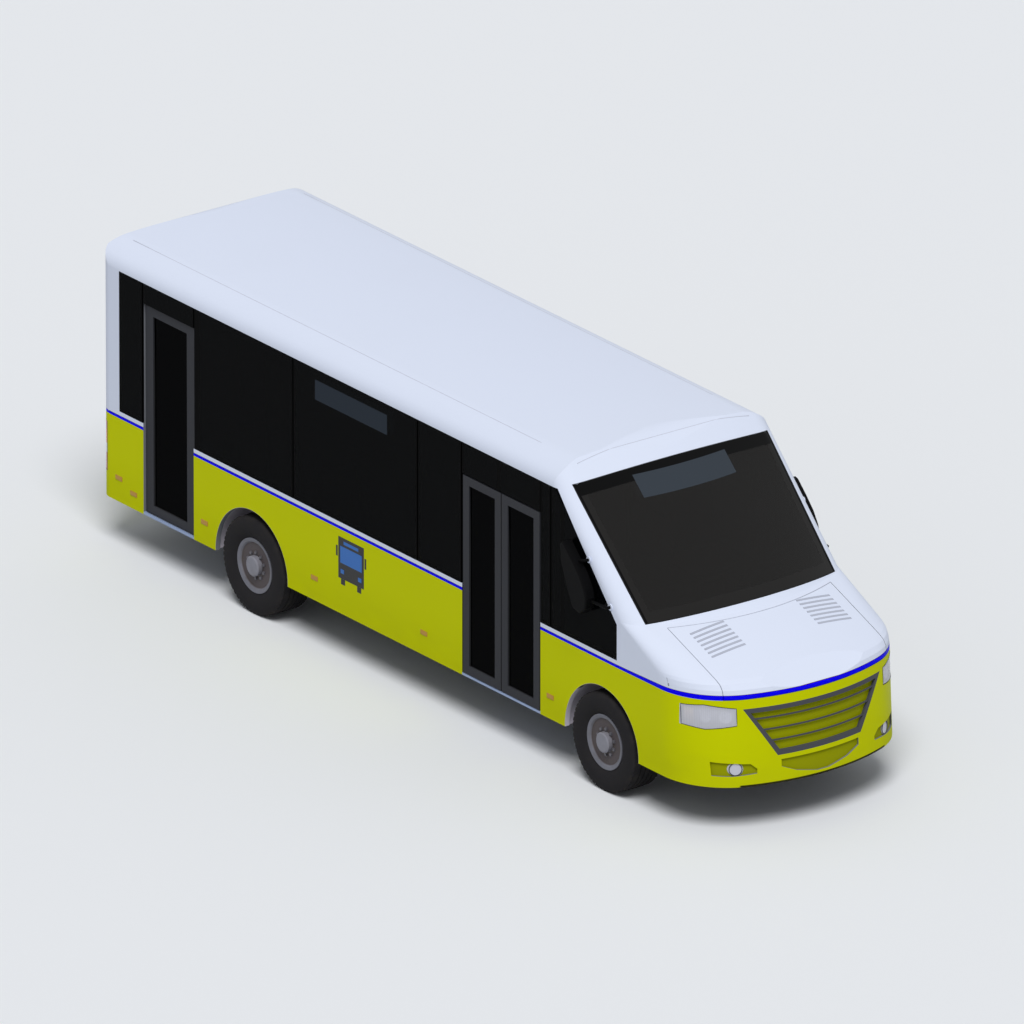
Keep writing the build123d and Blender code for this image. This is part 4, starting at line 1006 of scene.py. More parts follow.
def mesh_of(build: Build) -> Mesh:
    """Merges a bmesh's doubles, turns its faces outwards and writes it out.

    Args:
        build: the bmesh.

    Returns:
        The mesh.
    """
    bmesh.ops.remove_doubles(build, verts=build.verts, dist=1e-6)
    bmesh.ops.recalc_face_normals(build, faces=build.faces)
    return written(build)


def bridge(build: Build, here: Sequence[Vert], there: Sequence[Vert]) -> None:
    """Joins two closed rows of vertices by a band of faces.

    Args:
        build: the bmesh.
        here: one row.
        there: the next row, with as many vertices.
    """
    for i in range(len(here)):
        j = (i + 1) % len(here)
        build.faces.new((here[i], here[j], there[j], there[i]))


def add_box(build: Build, low: Point, high: Point, bevel: float) -> None:
    """Adds a box with rounded edges to a bmesh.

    Args:
        build: the bmesh.
        low: its lowest corner.
        high: its highest corner.
        bevel: the radius of its edges.
    """
    size = Vector(high) - Vector(low)
    centre = (Vector(high) + Vector(low)) / 2
    matrix = Matrix.Translation(centre) @ Matrix.Diagonal((*size, 1.0))
    made = bmesh.ops.create_cube(build, size=1.0, matrix=matrix)
    if bevel > 0:
        edges = list({edge for vert in made["verts"] for edge in vert.link_edges})
        rounding = {"segments": 2, "profile": 0.6, "affect": "EDGES", "clamp_overlap": True}
        bmesh.ops.bevel(build, geom=edges, offset=bevel, **rounding)


def boxes(rows: Iterable[Box], bevel: float = 0.0) -> Mesh:
    """Several rounded boxes in one mesh.

    Args:
        rows: the boxes.
        bevel: the radius of their edges.

    Returns:
        The mesh.
    """
    build = bmesh.new()
    for low, high in rows:
        add_box(build, low, high, bevel)
    return mesh_of(build)


def moved(rows: Iterable[Box], by: Point) -> list[Box]:
    """Boxes, all moved by the same amount."""
    shift = [[tuple(value + move for value, move in zip(corner, by)) for corner in row] for row in rows]
    return [(low, high) for low, high in shift]


def lathe(profile: Sequence[Span], centre: Point, segments: int) -> Mesh:
    """Turns a closed profile about an axis along Y.

    Args:
        profile: (Y, radius) points from the centre, in order.
        centre: the middle of the turned piece.
        segments: steps round the axis.

    Returns:
        The mesh.
    """
    build = bmesh.new()
    x, middle, z = centre
    rings = []
    for step in range(segments):
        angle = 2 * math.pi * step / segments
        across, up = math.cos(angle), math.sin(angle)
        rings.append([build.verts.new((x + r * across, middle + y, z + r * up)) for y, r in profile])
    for step in range(segments):
        bridge(build, rings[step], rings[(step + 1) % segments])
    return mesh_of(build)


def tube(points: Sequence[Point], radius: float, sides: int = 12, loop: bool = False) -> Mesh:
    """A round bar along a line of points, with closed ends or joined into a ring.

    Args:
        points: the line.
        radius: the bar's radius.
        sides: faces round the bar.
        loop: whether the last point meets the first.

    Returns:
        The mesh.
    """
    build = bmesh.new()
    line = [Vector(point) for point in points]
    rows = []
    last = len(line) - 1
    for i, spot in enumerate(line):
        before = line[i - 1] if loop or i else line[0]
        after = line[(i + 1) % len(line)] if loop else line[min(i + 1, last)]
        along = (after - before).normalized()
        side = along.cross(Vector((0, 0, 1)) if abs(along.z) < 0.9 else Vector((1, 0, 0))).normalized()
        up = side.cross(along)
        row = []
        for step in range(sides):
            angle = 2 * math.pi * step / sides
            row.append(build.verts.new(spot + (side * math.cos(angle) + up * math.sin(angle)) * radius))
        rows.append(row)
    for here, there in zip(rows, rows[1:] + (rows[:1] if loop else [])):
        bridge(build, here, there)
    if not loop:
        build.faces.new(rows[0][::-1])
        build.faces.new(rows[-1])
    return mesh_of(build)


class Skin:
    """The outer surface of some CAD nodes, found by casting rays."""

    def __init__(self, *nodes: str) -> None:
        """Gathers the nodes' triangles.

        Args:
            nodes: the CAD nodes' names.
        """
        points: list[Vector] = []
        faces: list[tuple[int, ...]] = []
        for name in nodes:
            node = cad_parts[name]
            first = len(points)
            points += [node.matrix_world @ vert.co for vert in node.data.vertices]
            faces += [tuple(first + i for i in face.vertices) for face in node.data.polygons]
        self.tree = BVHTree.FromPolygons(points, faces)

    def cast(self, start: Point, along: Point) -> tuple[Vector, Vector]:
        """Where a ray first meets the surface.

        Args:
            start: where the ray starts.
            along: its direction.

        Returns:
            The point and the outward normal there.
        """
        spot, normal, _, _ = self.tree.ray_cast(Vector(start), Vector(along).normalized())
        if spot is None:
            raise ValueError(f"no surface from {start} along {along}")
        if normal.dot(Vector(along)) > 0:
            normal = -normal
        return spot, normal

    def from_front(self, y: float, z: float) -> tuple[Vector, Vector]:
        """The surface seen from straight ahead."""
        return self.cast((10.0, y, z), (-1.0, 0.0, 0.0))

    def from_above(self, x: float, y: float) -> tuple[Vector, Vector]:
        """The surface seen from straight above."""
        return self.cast((x, y, 10.0), (0.0, 0.0, -1.0))


def islands(node: str) -> list[tuple[Vector, Vector]]:
    """The boxes of a CAD node's separate solids, from the rearmost to the foremost.

    Args:
        node: the node's name.

    Returns:
        Each solid's lowest and highest corner.
    """
    build = bmesh.new()
    build.from_mesh(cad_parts[node].data)
    bmesh.ops.remove_doubles(build, verts=build.verts, dist=1e-5)
    left, found = set(build.verts), []
    while left:
        heap = [left.pop()]
        spots = []
        while heap:
            vert = heap.pop()
            spots.append(vert.co.copy())
            for edge in vert.link_edges:
                other = edge.other_vert(vert)
                if other in left:
                    left.discard(other)
                    heap.append(other)
        low = Vector(min(spot[i] for spot in spots) for i in range(3))
        high = Vector(max(spot[i] for spot in spots) for i in range(3))
        found.append((low, high))
    build.free()
    return sorted(found, key=lambda pair: (pair[0].x, pair[0].y))


def segmented(corners: Sequence[Span], step: float) -> list[Span]:
    """A closed polygon's outline with points no further apart than a step.

    Args:
        corners: the polygon.
        step: the greatest distance between points.

    Returns:
        The points.
    """
    out = []
    for (u0, v0), (u1, v1) in zip(corners, list(corners[1:]) + [corners[0]]):
        count = max(1, math.ceil(math.hypot(u1 - u0, v1 - v0) / step))
        out += [(part_way(u0, u1, i / count), part_way(v0, v1, i / count)) for i in range(count)]
    return out


class Repeat(Nodes):
    """A Geometry Nodes tree that repeats one small mesh in a row or round a ring."""

    def __init__(self) -> None:
        """Builds the tree once."""
        super().__init__(bpy.data.node_groups.new("repeat", "GeometryNodeTree"))
        face = self.tree.interface
        face.new_socket("Geometry", in_out="INPUT", socket_type="NodeSocketGeometry")
        kinds = {
            "Count": "Int", "Step": "Vector", "Turn": "Vector", "Centre": "Vector", "Material": "Material",
        }
        for name, kind in kinds.items():
            face.new_socket(name, in_out="INPUT", socket_type="NodeSocket" + kind)
        face.new_socket("Geometry", in_out="OUTPUT", socket_type="NodeSocketGeometry")
        given = self.node("NodeGroupInput").outputs
        index = self.node("GeometryNodeInputIndex").outputs[0]
        way = self.vector("SCALE", {0: given["Step"], "Scale": index})
        place = self.vector("ADD", {0: way, 1: given["Centre"]})
        turn = self.vector("SCALE", {0: given["Turn"], "Scale": index})
        points = self.add("GeometryNodePoints", {"Count": given["Count"], "Position": place})
        copies = {"Points": points, "Instance": given["Geometry"], "Rotation": turn}
        real = self.add("GeometryNodeRealizeInstances", [self.add("GeometryNodeInstanceOnPoints", copies)])
        dressed = self.add("GeometryNodeSetMaterial", {"Geometry": real, "Material": given["Material"]})
        self.node("NodeGroupOutput", None, [dressed])

    def add(self, kind: str, inputs: dict[Any, Any] | Sequence[Any]) -> Socket:
        """Adds a node without settings and returns its result."""
        return self.node(kind, None, inputs).outputs[0]

    def vector(self, operation: str, inputs: dict[Any, Any]) -> Socket:
        """Adds a Vector Math node and returns its result."""
        return self.node("ShaderNodeVectorMath", {"operation": operation}, inputs).outputs[0]

    def make(
        self,
        template: Mesh,
        name: str,
        material: Material,
        count: int,
        step: Point = (0.0, 0.0, 0.0),
        turn: Point = (0.0, 0.0, 0.0),
        centre: Point = (0.0, 0.0, 0.0),
    ) -> Piece:
        """Repeats a mesh and returns the copies as one plain object.

        Args:
            template: the small mesh, about the row's or the ring's own origin.
            name: the piece's name.
            material: its finish.
            count: the number of copies.
            step: the move from each copy to the next.
            turn: the turn from each copy to the next, in radians.
            centre: the place of the first copy's origin.

        Returns:
            The object.
        """
        holder = bpy.data.objects.new(name + "_rule", template)
        bpy.context.scene.collection.objects.link(holder)
        modifier = holder.modifiers.new("repeat", "NODES")
        modifier.node_group = self.tree
        values = {"Count": count, "Step": step, "Turn": turn, "Centre": centre, "Material": material}
        for item in self.tree.interface.items_tree:
            if item.in_out == "INPUT" and item.name in values:
                modifier[item.identifier] = values[item.name]
        graph = bpy.context.evaluated_depsgraph_get()
        mesh = bpy.data.meshes.new_from_object(holder.evaluated_get(graph), depsgraph=graph)
        holder.modifiers.remove(modifier)
        bpy.data.objects.remove(holder)
        return finish_mesh(mesh, name, material, False)


def merged(meshes: Sequence[Mesh]) -> Mesh:
    """Several meshes as one.

    Args:
        meshes: the meshes.

    Returns:
        The one mesh.
    """
    build = bmesh.new()
    for mesh in meshes:
        build.from_mesh(mesh)
    return written(build)


def sharpen(mesh: Mesh, angle: float) -> Mesh:
    """Marks a mesh's edges sharper than an angle as sharp.

    Args:
        mesh: the mesh.
        angle: the angle, in radians.

    Returns:
        The same mesh.
    """
    build = bmesh.new()
    build.from_mesh(mesh)
    for edge in build.edges:
        if len(edge.link_faces) == 2 and edge.calc_face_angle() > angle:
            edge.smooth = False
    build.to_mesh(mesh)
    build.free()
    return mesh


def disc(centre: Vector, normal: Vector, profile: Sequence[Span], segments: int = 40) -> Mesh:
    """A turned piece about any axis.

    Args:
        centre: where its profile starts.
        normal: its axis.
        profile: (distance along the axis, radius) points, from the axis or round to the first point.
        segments: steps round the axis.

    Returns:
        The mesh.
    """
    turn = normal.to_track_quat("Z", "Y").to_matrix().to_4x4()
    place = Matrix.Translation(centre) @ turn
    build = bmesh.new()
    rows = []
    for along, radius in profile:
        angles = [2 * math.pi * i / segments for i in range(segments if radius > 0 else 1)]
        row = [Vector((radius * math.cos(angle), radius * math.sin(angle), along)) for angle in angles]
        rows.append([build.verts.new(place @ spot) for spot in row])
    for here, there in zip(rows, rows[1:]):
        for i in range(segments):
            j = (i + 1) % segments
            corners = [here[i % len(here)], here[j % len(here)], there[j % len(there)], there[i % len(there)]]
            build.faces.new(list(dict.fromkeys(corners)))
    return mesh_of(build)


@dataclass(frozen=True)
class Pillow:
    """A crowned pad round the origin, its sides drawn in between its corners, with sewn channels.

    Its size is its length, width and thickness, and the channels' places run from -1 to 1 along it.
    """

    size: Point
    channels: tuple[float, ...] = ()
    steps: int = 28
    drawn_in: float = 0.025
    roundness: float = 0.4
    channel_width: float = 0.035
    channel_depth: float = 0.28
    underside: float = 0.85

    def spot(self, u: float, v: float, face: int) -> Point:
        """A point of the pad's upper or lower face.

        Args:
            u: its place along the pad, from -1 to 1.
            v: its place across the pad, from -1 to 1.
            face: 1 for the upper face, -1 for the lower.

        Returns:
            The point.
        """
        length, width, thickness = (value / 2 for value in self.size)
        x = length * u * (1 - self.drawn_in * (1 - v * v))
        y = width * v * (1 - self.drawn_in * (1 - u * u))
        rise = ((1 - u**6) * (1 - v**6)) ** self.roundness
        groove = sum(math.exp(-(((u - place) / self.channel_width) ** 2)) for place in self.channels)
        crown = rise * (1 - self.channel_depth * groove) if face > 0 else rise * self.underside
        return (x, y, face * thickness * crown)

    def make(self) -> Mesh:
        """Builds the pad.

        Returns:
            The mesh.
        """
        build = bmesh.new()
        places = [2 * i / self.steps - 1 for i in range(self.steps + 1)]
        for face in (1, -1):
            grid = [[build.verts.new(self.spot(u, v, face)) for v in places] for u in places]
            for here, there in zip(grid, grid[1:]):
                for j in range(self.steps):
                    build.faces.new((here[j], there[j], there[j + 1], here[j + 1]))
        return mesh_of(build)


# ---------------- sub-assemblies
@dataclass
class Assembly:
    """What every sub-assembly shares: its finishes, its repeater and its report."""

    finishes: Finishes
    repeat: Repeat

    def paint_nodes(self, **table: str) -> None:
        """Gives CAD nodes their finishes.

        Args:
            table: the nodes' names with spaces between them, by finish.
        """
        for finish, nodes in table.items():
            for node in nodes.split():
                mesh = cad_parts[node].data
                mesh.materials.clear()
                mesh.materials.append(self.finishes[finish])

    def ride(self, piece: Piece, body: str, slot: str) -> Piece:
        """Fixes a piece to a body and reports it.

        Args:
            piece: the piece.
            body: the body that carries it.
            slot: not used.

        Returns:
            The piece.
        """
        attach(piece, body)
        LOG.info("%s: %d faces on %s", piece.name, len(piece.data.polygons), body)
        return piece

    def fit(
        self, mesh: Mesh, name: str, finish: str, body: str, slot: str, smooth: bool = False
    ) -> Piece:
        """Makes a mesh a finished piece of a body."""
        return self.ride(finish_mesh(mesh, name, self.finishes[finish], smooth), body, slot)

    def fit_copies(
        self, mesh: Mesh, name: str, finish: str, body: str, slot: str, count: int, **places: Point
    ) -> Piece:
        """Makes copies of a small mesh one finished piece, each a step or a turn from the last."""
        return self.ride(self.repeat.make(mesh, name, self.finishes[finish], count, **places), body, slot)


@dataclass
class BodyShell(Assembly):
    """The painted panels, with their louvres, seams, screen gasket and small fittings."""

    louvre_x: float = 3.813
    louvre_pitch: float = 0.0525
    louvre_y: Span = (0.402, 0.770)
    louvre_count: int = 7
    louvre_half: float = 0.0115
    louvre_reach: float = 0.014
    louvre_proud: float = 0.0012
    louvre_thick: float = 0.004
    louvre_steps: int = 8
    seam_y: float = 0.95
    seam_x: Span = (-4.38, 2.23)
    seam_radius: float = 0.004
    seam_sunk: float = 0.002
    seam_headroom: float = 0.0002
    seam_steps: int = 12
    screen_foot: Span = (1.045, 1.712)
    screen_head: Span = (1.075, 2.712)
    screen_rise: Span = (0.050, 0.056)
    gasket_reach: float = 0.014
    gasket_radius: float = 0.006
    gasket_steps: tuple[int, int] = (22, 12)
    bezel_rim: float = 0.005
    bezel_sunk: float = 0.003
    bezel_proud: float = 0.001
    plate: Point = (0.26, 0.056, 0.80)
    plate_x: Span = (-0.001, 0.002)
    carrier_x: Span = (-0.0015, 0.004)
    carrier_rim: float = 0.012
    sign_place: Span = (-0.81, 0.955)
    film: float = 0.0012
    film_sunk: float = 0.001
    mirror_foot: Point = (2.550, 0, 1.862)
    mirror_head: Point = (2.4555, 0, 2.080)
    mirror_y: Span = (1.214, 1.288)
    mirror_glass: Span = (-0.001, 0.0022)

    def dress(self) -> None:
        """Paints the panels and adds every fitting."""
        self.paint_nodes(
            body_livery="roof rear_wall right_side_wall left_side_wall screen_frame bonnet driver_door"
            " right_front_wing left_front_wing",
            screen_glass="windscreen",
            side_glass="window_glass driver_door_glass",
            amber_marker="side_markers",
            mirror_shell="mirror_left mirror_right",
        )
        self.louvres()
        self.roof_seams()
        self.screen_gasket()
        self.marker_bezels()
        self.rear_plate()
        self.pictogram()
        self.mirrors()

    def louvres(self) -> None:
        """Blades that cover the bonnet's slots, just proud of its surface, in pale grey as painted shade of
        the slots.
        """
        skin, build = Skin("bonnet"), bmesh.new()
        middle, steps = (self.louvre_count - 1) / 2, self.louvre_steps
        for side in Side:
            for i in range(self.louvre_count):
                x = self.louvre_x + (i - middle) * self.louvre_pitch
                across = [side.value * part_way(*self.louvre_y, k / steps) for k in range(steps + 1)]
                rows = [[build.verts.new(spot) for spot in self.blade_section(skin, x, y)] for y in across]
                for here, there in zip(rows, rows[1:]):
                    bridge(build, here, there)
                build.faces.new(rows[0][::-1])
                build.faces.new(rows[-1])
        self.fit(mesh_of(build), "bonnet_louvres", "louvre_paint", "bonnet_lid", "white_paint")

    def blade_section(self, skin: Skin, x: float, y: float) -> list[Point]:
        """A louvre blade's section, which leans as the bonnet does.

        Args:
            skin: the bonnet's surface.
            x: the blade's middle.
            y: where along the blade.

        Returns:
            Its four corners, in order round it.
        """
        reach, half = self.louvre_reach, self.louvre_half
        behind, ahead = (skin.from_above(x + sign * reach, y)[0].z for sign in (-1, 1))
        tilt = (ahead - behind) / (2 * reach) * half
        middle = (ahead + behind) / 2 + self.louvre_proud
        corners = ((-1, 0.0), (1, 0.0), (1, -self.louvre_thick), (-1, -self.louvre_thick))
        return [(x + sign * half, y, middle + sign * tilt + drop) for sign, drop in corners]

    def roof_seams(self) -> None:
        """Low sealed seams along both edges of the roof and across its front."""
        skin, steps = Skin("roof"), self.seam_steps
        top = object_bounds()[1][2] - self.seam_radius - self.seam_headroom
        rear, front = self.seam_x
        along = [part_way(rear, front, i / steps) for i in range(steps + 1)]
        lines = [[(x, side.value * self.seam_y) for x in along] for side in Side]
        lines.append([(front, self.seam_y * (i / steps - 1)) for i in range(2 * steps + 1)])
        seams = []
        for line in lines:
            spots = [self.on_roof(skin, x, y, top) for x, y in line]
            seams.append(tube(spots, self.seam_radius, sides=8))
        self.fit(merged(seams), "roof_seams", "seam_sealer", "body", "white_paint", smooth=True)

    def on_roof(self, skin: Skin, x: float, y: float, top: float) -> Point:
        """A point of a seam's middle line, sunk a little into the roof.

        Args:
            skin: the roof's surface.
            x: the point's X.
            y: its Y.
            top: the greatest height it may have.

        Returns:
            The point.
        """
        spot, normal = skin.from_above(x, y)
        spot = spot - normal * self.seam_sunk
        return (spot.x, spot.y, min(spot.z, top))

    def screen_gasket(self) -> None:
        """The rubber that frames the windscreen."""
        skin = Skin("windscreen", "screen_frame", "roof")
        (foot_y, foot_z), (head_y, head_z) = self.screen_foot, self.screen_head
        foot_rise, head_rise = self.screen_rise
        wide, tall = self.gasket_steps
        rows = []
        for i in range(wide):
            y = foot_y * (2 * i / wide - 1)
            rows.append((y, foot_z + foot_rise * (1 - (y / foot_y) ** 2)))
        for i in range(tall):
            rows.append((part_way(foot_y, head_y, i / tall), part_way(foot_z, head_z, i / tall)))
        for i in range(wide):
            y = head_y * (1 - 2 * i / wide)
            rows.append((y, head_z + head_rise * (1 - (y / head_y) ** 2)))
        for i in range(tall):
            share = 1 - i / tall
            rows.append((-part_way(foot_y, head_y, share), part_way(foot_z, head_z, share)))
        middle = (foot_z + head_z) / 2
        line = []
        for y, z in rows:
            out = Vector((y, z - middle)).normalized() * self.gasket_reach
            over, under = (skin.from_front(y + sign * out.x, z + sign * out.y)[0] for sign in (1, -1))
            line.append(tuple((over + under) / 2))
        gasket = tube(line, self.gasket_radius, sides=8, loop=True)
        self.fit(gasket, "screen_gasket", "seal_rubber", "body", "dark_plastic", smooth=True)

    def marker_bezels(self) -> None:
        """A moulded rim round every side marker."""
        rim, rows = self.bezel_rim, []
        for low, high in islands("side_markers"):
            face, middle = (-1 if low.y < 0 else 1), abs(low.y + high.y) / 2
            near, far = sorted((face * (middle - self.bezel_sunk), face * (middle + self.bezel_proud)))
            for z0, z1 in ((low.z - rim, low.z), (high.z, high.z + rim)):
                rows.append(((low.x - rim, near, z0), (high.x + rim, far, z1)))
            for x0, x1 in ((low.x - rim, low.x), (high.x, high.x + rim)):
                rows.append(((x0, near, low.z), (x1, far, high.z)))
        self.fit(boxes(rows), "marker_bezels", "amber_marker", "body", "amber_lens")

    def rear_plate(self) -> None:
        """A blank plate in its moulded carrier."""
        half, rise, z = self.plate
        place, rim = (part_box("rear_wall")[0].x, 0.0, z), self.carrier_rim
        outer, inner = self.plate_x
        plate = moved([((outer, -half, -rise), (inner, half, rise))], place)
        self.fit(boxes(plate, 0.0008), "rear_plate", "blank_plate", "body", "white_paint")
        outer, inner = self.carrier_x
        rails = [
            ((outer, -half - rim, -rise - rim), (inner, half + rim, -rise)),
            ((outer, -half - rim, rise), (inner, half + rim, rise + rim)),
            ((outer, -half - rim, -rise), (inner, -half, rise)),
            ((outer, half, -rise), (inner, half + rim, rise)),
        ]
        self.fit(boxes(moved(rails, place)), "plate_carrier", "black_moulding", "body", "dark_plastic")

    def pictogram(self) -> None:
        """A plain picture of a bus's front on the right side: a generic sign in thin film."""
        front = [(-0.19, 0.19, -0.17, 0.225)]
        ears = [(-0.225, -0.2, 0.03, 0.13), (0.2, 0.225, 0.03, 0.13)]
        tyres = [(-0.15, -0.09, -0.225, -0.171), (0.09, 0.15, -0.225, -0.171)]
        screens = [(-0.16, 0.16, -0.02, 0.14), (-0.11, 0.11, 0.165, 0.195)]
        lamps = [(-0.155, -0.105, -0.12, -0.08), (0.105, 0.155, -0.12, -0.08)]
        shape = self.films(front + ears + tyres, 0.0)
        panes = self.films(screens + lamps, self.film)
        self.fit(shape, "pictogram_shape", "pictogram_black", "body", "dark_plastic")
        self.fit(panes, "pictogram_panes", "pictogram_blue", "body", "dark_plastic")

    def films(self, rows: Iterable[tuple[float, float, float, float]], lift: float) -> Mesh:
        """Oblongs of thin film on the right side.

        Args:
            rows: the two ends and the foot and head of each, from the sign's middle.
            lift: how far they lie off the side.

        Returns:
            The mesh.
        """
        x, z = self.sign_place
        place = (x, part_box("right_side_wall")[0].y - lift, z)
        outer, inner = -self.film, self.film_sunk
        flat = [((x0, outer, z0), (x1, inner, z1)) for x0, x1, z0, z1 in rows]
        return boxes(moved(flat, place), 0.0004)

    def mirrors(self) -> None:
        """The glass in each mirror's slanting rear face."""
        foot, head = Vector(self.mirror_foot), Vector(self.mirror_head)
        along = (head - foot).normalized()
        outward = Vector((-along.z, 0, along.x))
        turn = Matrix((outward, Vector((0, 1, 0)), along)).transposed().to_4x4()
        inner, outer = self.mirror_glass
        for side in Side:
            near, far = sorted(side.value * y for y in self.mirror_y)
            build = bmesh.new()
            add_box(build, (inner, near, 0.0), (outer, far, (head - foot).length), 0.0008)
            bmesh.ops.transform(build, matrix=Matrix.Translation(foot) @ turn, verts=build.verts)
            name = "mirror_glass_" + side.name.lower()
            self.fit(mesh_of(build), name, "mirror_glass", "body", "tinted_glass")


@dataclass
class Lamps(Assembly):
    """Head, fog and tail lamps with what shows behind and round their lenses."""

    headlamp: tuple[Span, ...] = (
        (0.808, 1.180), (1.030, 1.213), (1.138, 1.190), (1.138, 1.004), (1.030, 0.985), (0.808, 1.020),
    )
    gasket: float = 0.003
    bowls: tuple[Point, ...] = ((0.893, 1.100, 0.058), (1.022, 1.100, 0.052))
    panel_y: Span = (0.815, 1.128)
    panel_z: Span = (1.012, 1.182)
    panel_depth: float = 0.024
    indicator_y: Span = (1.086, 1.130)
    indicator_z: Span = (1.020, 1.170)
    indicator_depth: float = 0.008
    sheet_thick: float = 0.003
    sheet_steps: int = 10
    fog: Point = (0.825, 0.612, 0.060)
    tail: tuple[float, float, float, float] = (-4.590, 0.950, 0.690, 1.165)
    tail_corner: tuple[float, float, float] = (0.150, 1.030, math.radians(75.5))
    tail_steps: int = 10
    bezel: float = 0.0045
    bezel_proud: float = 0.0014

    def dress(self) -> None:
        """Gives every lamp its lens, bowls and bezels."""
        self.paint_nodes(nose_livery="front_fascia", grille_moulding="grille")
        self.paint_nodes(headlamp_lens="headlamps", fog_lens="fog_lamps", tail_cluster="tail_lamps")
        self.headlamps()
        self.fog_bezels()
        self.tail_bezels()

    def headlamps(self) -> None:
        """Reflector, bowls and indicator inside each lens, and a gasket round it."""
        skin = Skin("headlamps", "front_fascia")
        gaskets, bowls, panels, ambers = [], [], [], []
        for side in Side:
            outline = [(side.value * y, z) for y, z in segmented(self.headlamp, 0.03)]
            line = [tuple(skin.from_front(y, z)[0]) for y, z in outline]
            gaskets.append(tube(line, self.gasket, sides=6, loop=True))
            for y, z, radius in self.bowls:
                spot, normal = skin.from_front(side.value * y, z)
                profile = (
                    (-0.026, 0.0), (-0.026, radius), (-0.006, radius), (-0.006, radius - 0.005),
                    (-0.014, radius * 0.6), (-0.020, radius * 0.25), (-0.014, radius * 0.22), (-0.012, 0.0),
                )
                bowls.append(disc(spot, normal, profile))
            panels.append(self.sheet(skin, side, self.panel_y, self.panel_z, self.panel_depth))
            ambers.append(self.sheet(skin, side, self.indicator_y, self.indicator_z, self.indicator_depth))
        for name, meshes, finish, slot in (
            ("headlamp_gaskets", gaskets, "seal_rubber", "dark_plastic"),
            ("headlamp_bowls", bowls, "bowl_chrome", "lamp_lens"),
            ("headlamp_panels", panels, "reflector_panel", "lamp_lens"),
            ("indicator_lenses", ambers, "amber_lens", "amber_lens"),
        ):
            self.fit(merged(meshes), name, finish, "body", slot, smooth=True)

    def sheet(self, skin: Skin, side: Side, span: Span, height: Span, depth: float) -> Mesh:
        """A curved plate at a depth under the nose's surface.

        Args:
            skin: the surface.
            side: right or left.
            span: its nearer and farther distance from the centre plane.
            height: its foot and head.
            depth: how far it lies under the surface.

        Returns:
            The mesh.
        """
        build = bmesh.new()
        columns = []
        for i in range(self.sheet_steps + 1):
            y = side.value * part_way(*span, i / self.sheet_steps)
            corners = []
            for z in height:
                spot, normal = skin.from_front(y, z)
                corners += [spot - normal * depth, spot - normal * (depth + self.sheet_thick)]
            low_out, low_in, high_out, high_in = corners
            columns.append([build.verts.new(spot) for spot in (low_out, high_out, high_in, low_in)])
        for here, there in zip(columns, columns[1:]):
            bridge(build, here, there)
        build.faces.new(columns[0])
        build.faces.new(columns[-1][::-1])
        return mesh_of(build)

    def fog_bezels(self) -> None:
        """A ring round each fog lamp's lens."""
        skin = Skin("fog_lamps")
        y, z, radius = self.fog
        outer, inner = radius + 0.002, radius - 0.006
        profile = ((-0.012, outer), (0.003, outer), (0.005, radius - 0.001), (0.003, inner))
        profile += ((-0.012, inner), (-0.012, outer))
        rings = []
        for side in Side:
            spot, normal = skin.from_front(side.value * y, z)
            level = Vector((normal.x, normal.y, 0)).normalized()
            rings.append(disc(spot, level, profile, segments=48))
        self.fit(merged(rings), "fog_lamp_bezels", "grille_moulding", "body", "dark_plastic", smooth=True)

    def tail_bezels(self) -> None:
        """A dark bead round each tail lamp, following the rear corner."""
        x, inner, foot, head = self.tail
        radius, centre_y, turn = self.tail_corner
        sunk = self.bezel - self.bezel_proud
        reach = radius - sunk
        path = [(x + sunk, inner), (x + sunk, centre_y)]
        for i in range(1, self.tail_steps + 1):
            angle = turn * i / self.tail_steps
            path.append((x + radius - reach * math.cos(angle), centre_y + reach * math.sin(angle)))
        beads = []
        for side in Side:
            line = [(px, side.value * py, foot) for px, py in path]
            line += [(px, side.value * py, head) for px, py in reversed(path)]
            beads.append(tube(line, self.bezel, sides=8, loop=True))
        self.fit(merged(beads), "tail_lamp_bezels", "black_moulding", "body", "dark_plastic", smooth=True)


@dataclass(frozen=True)
class Leaf:
    """A passenger door's leaf: its CAD node, its body and whether its front edge is the closing one."""

    node: str
    body: str
    closes_ahead: bool


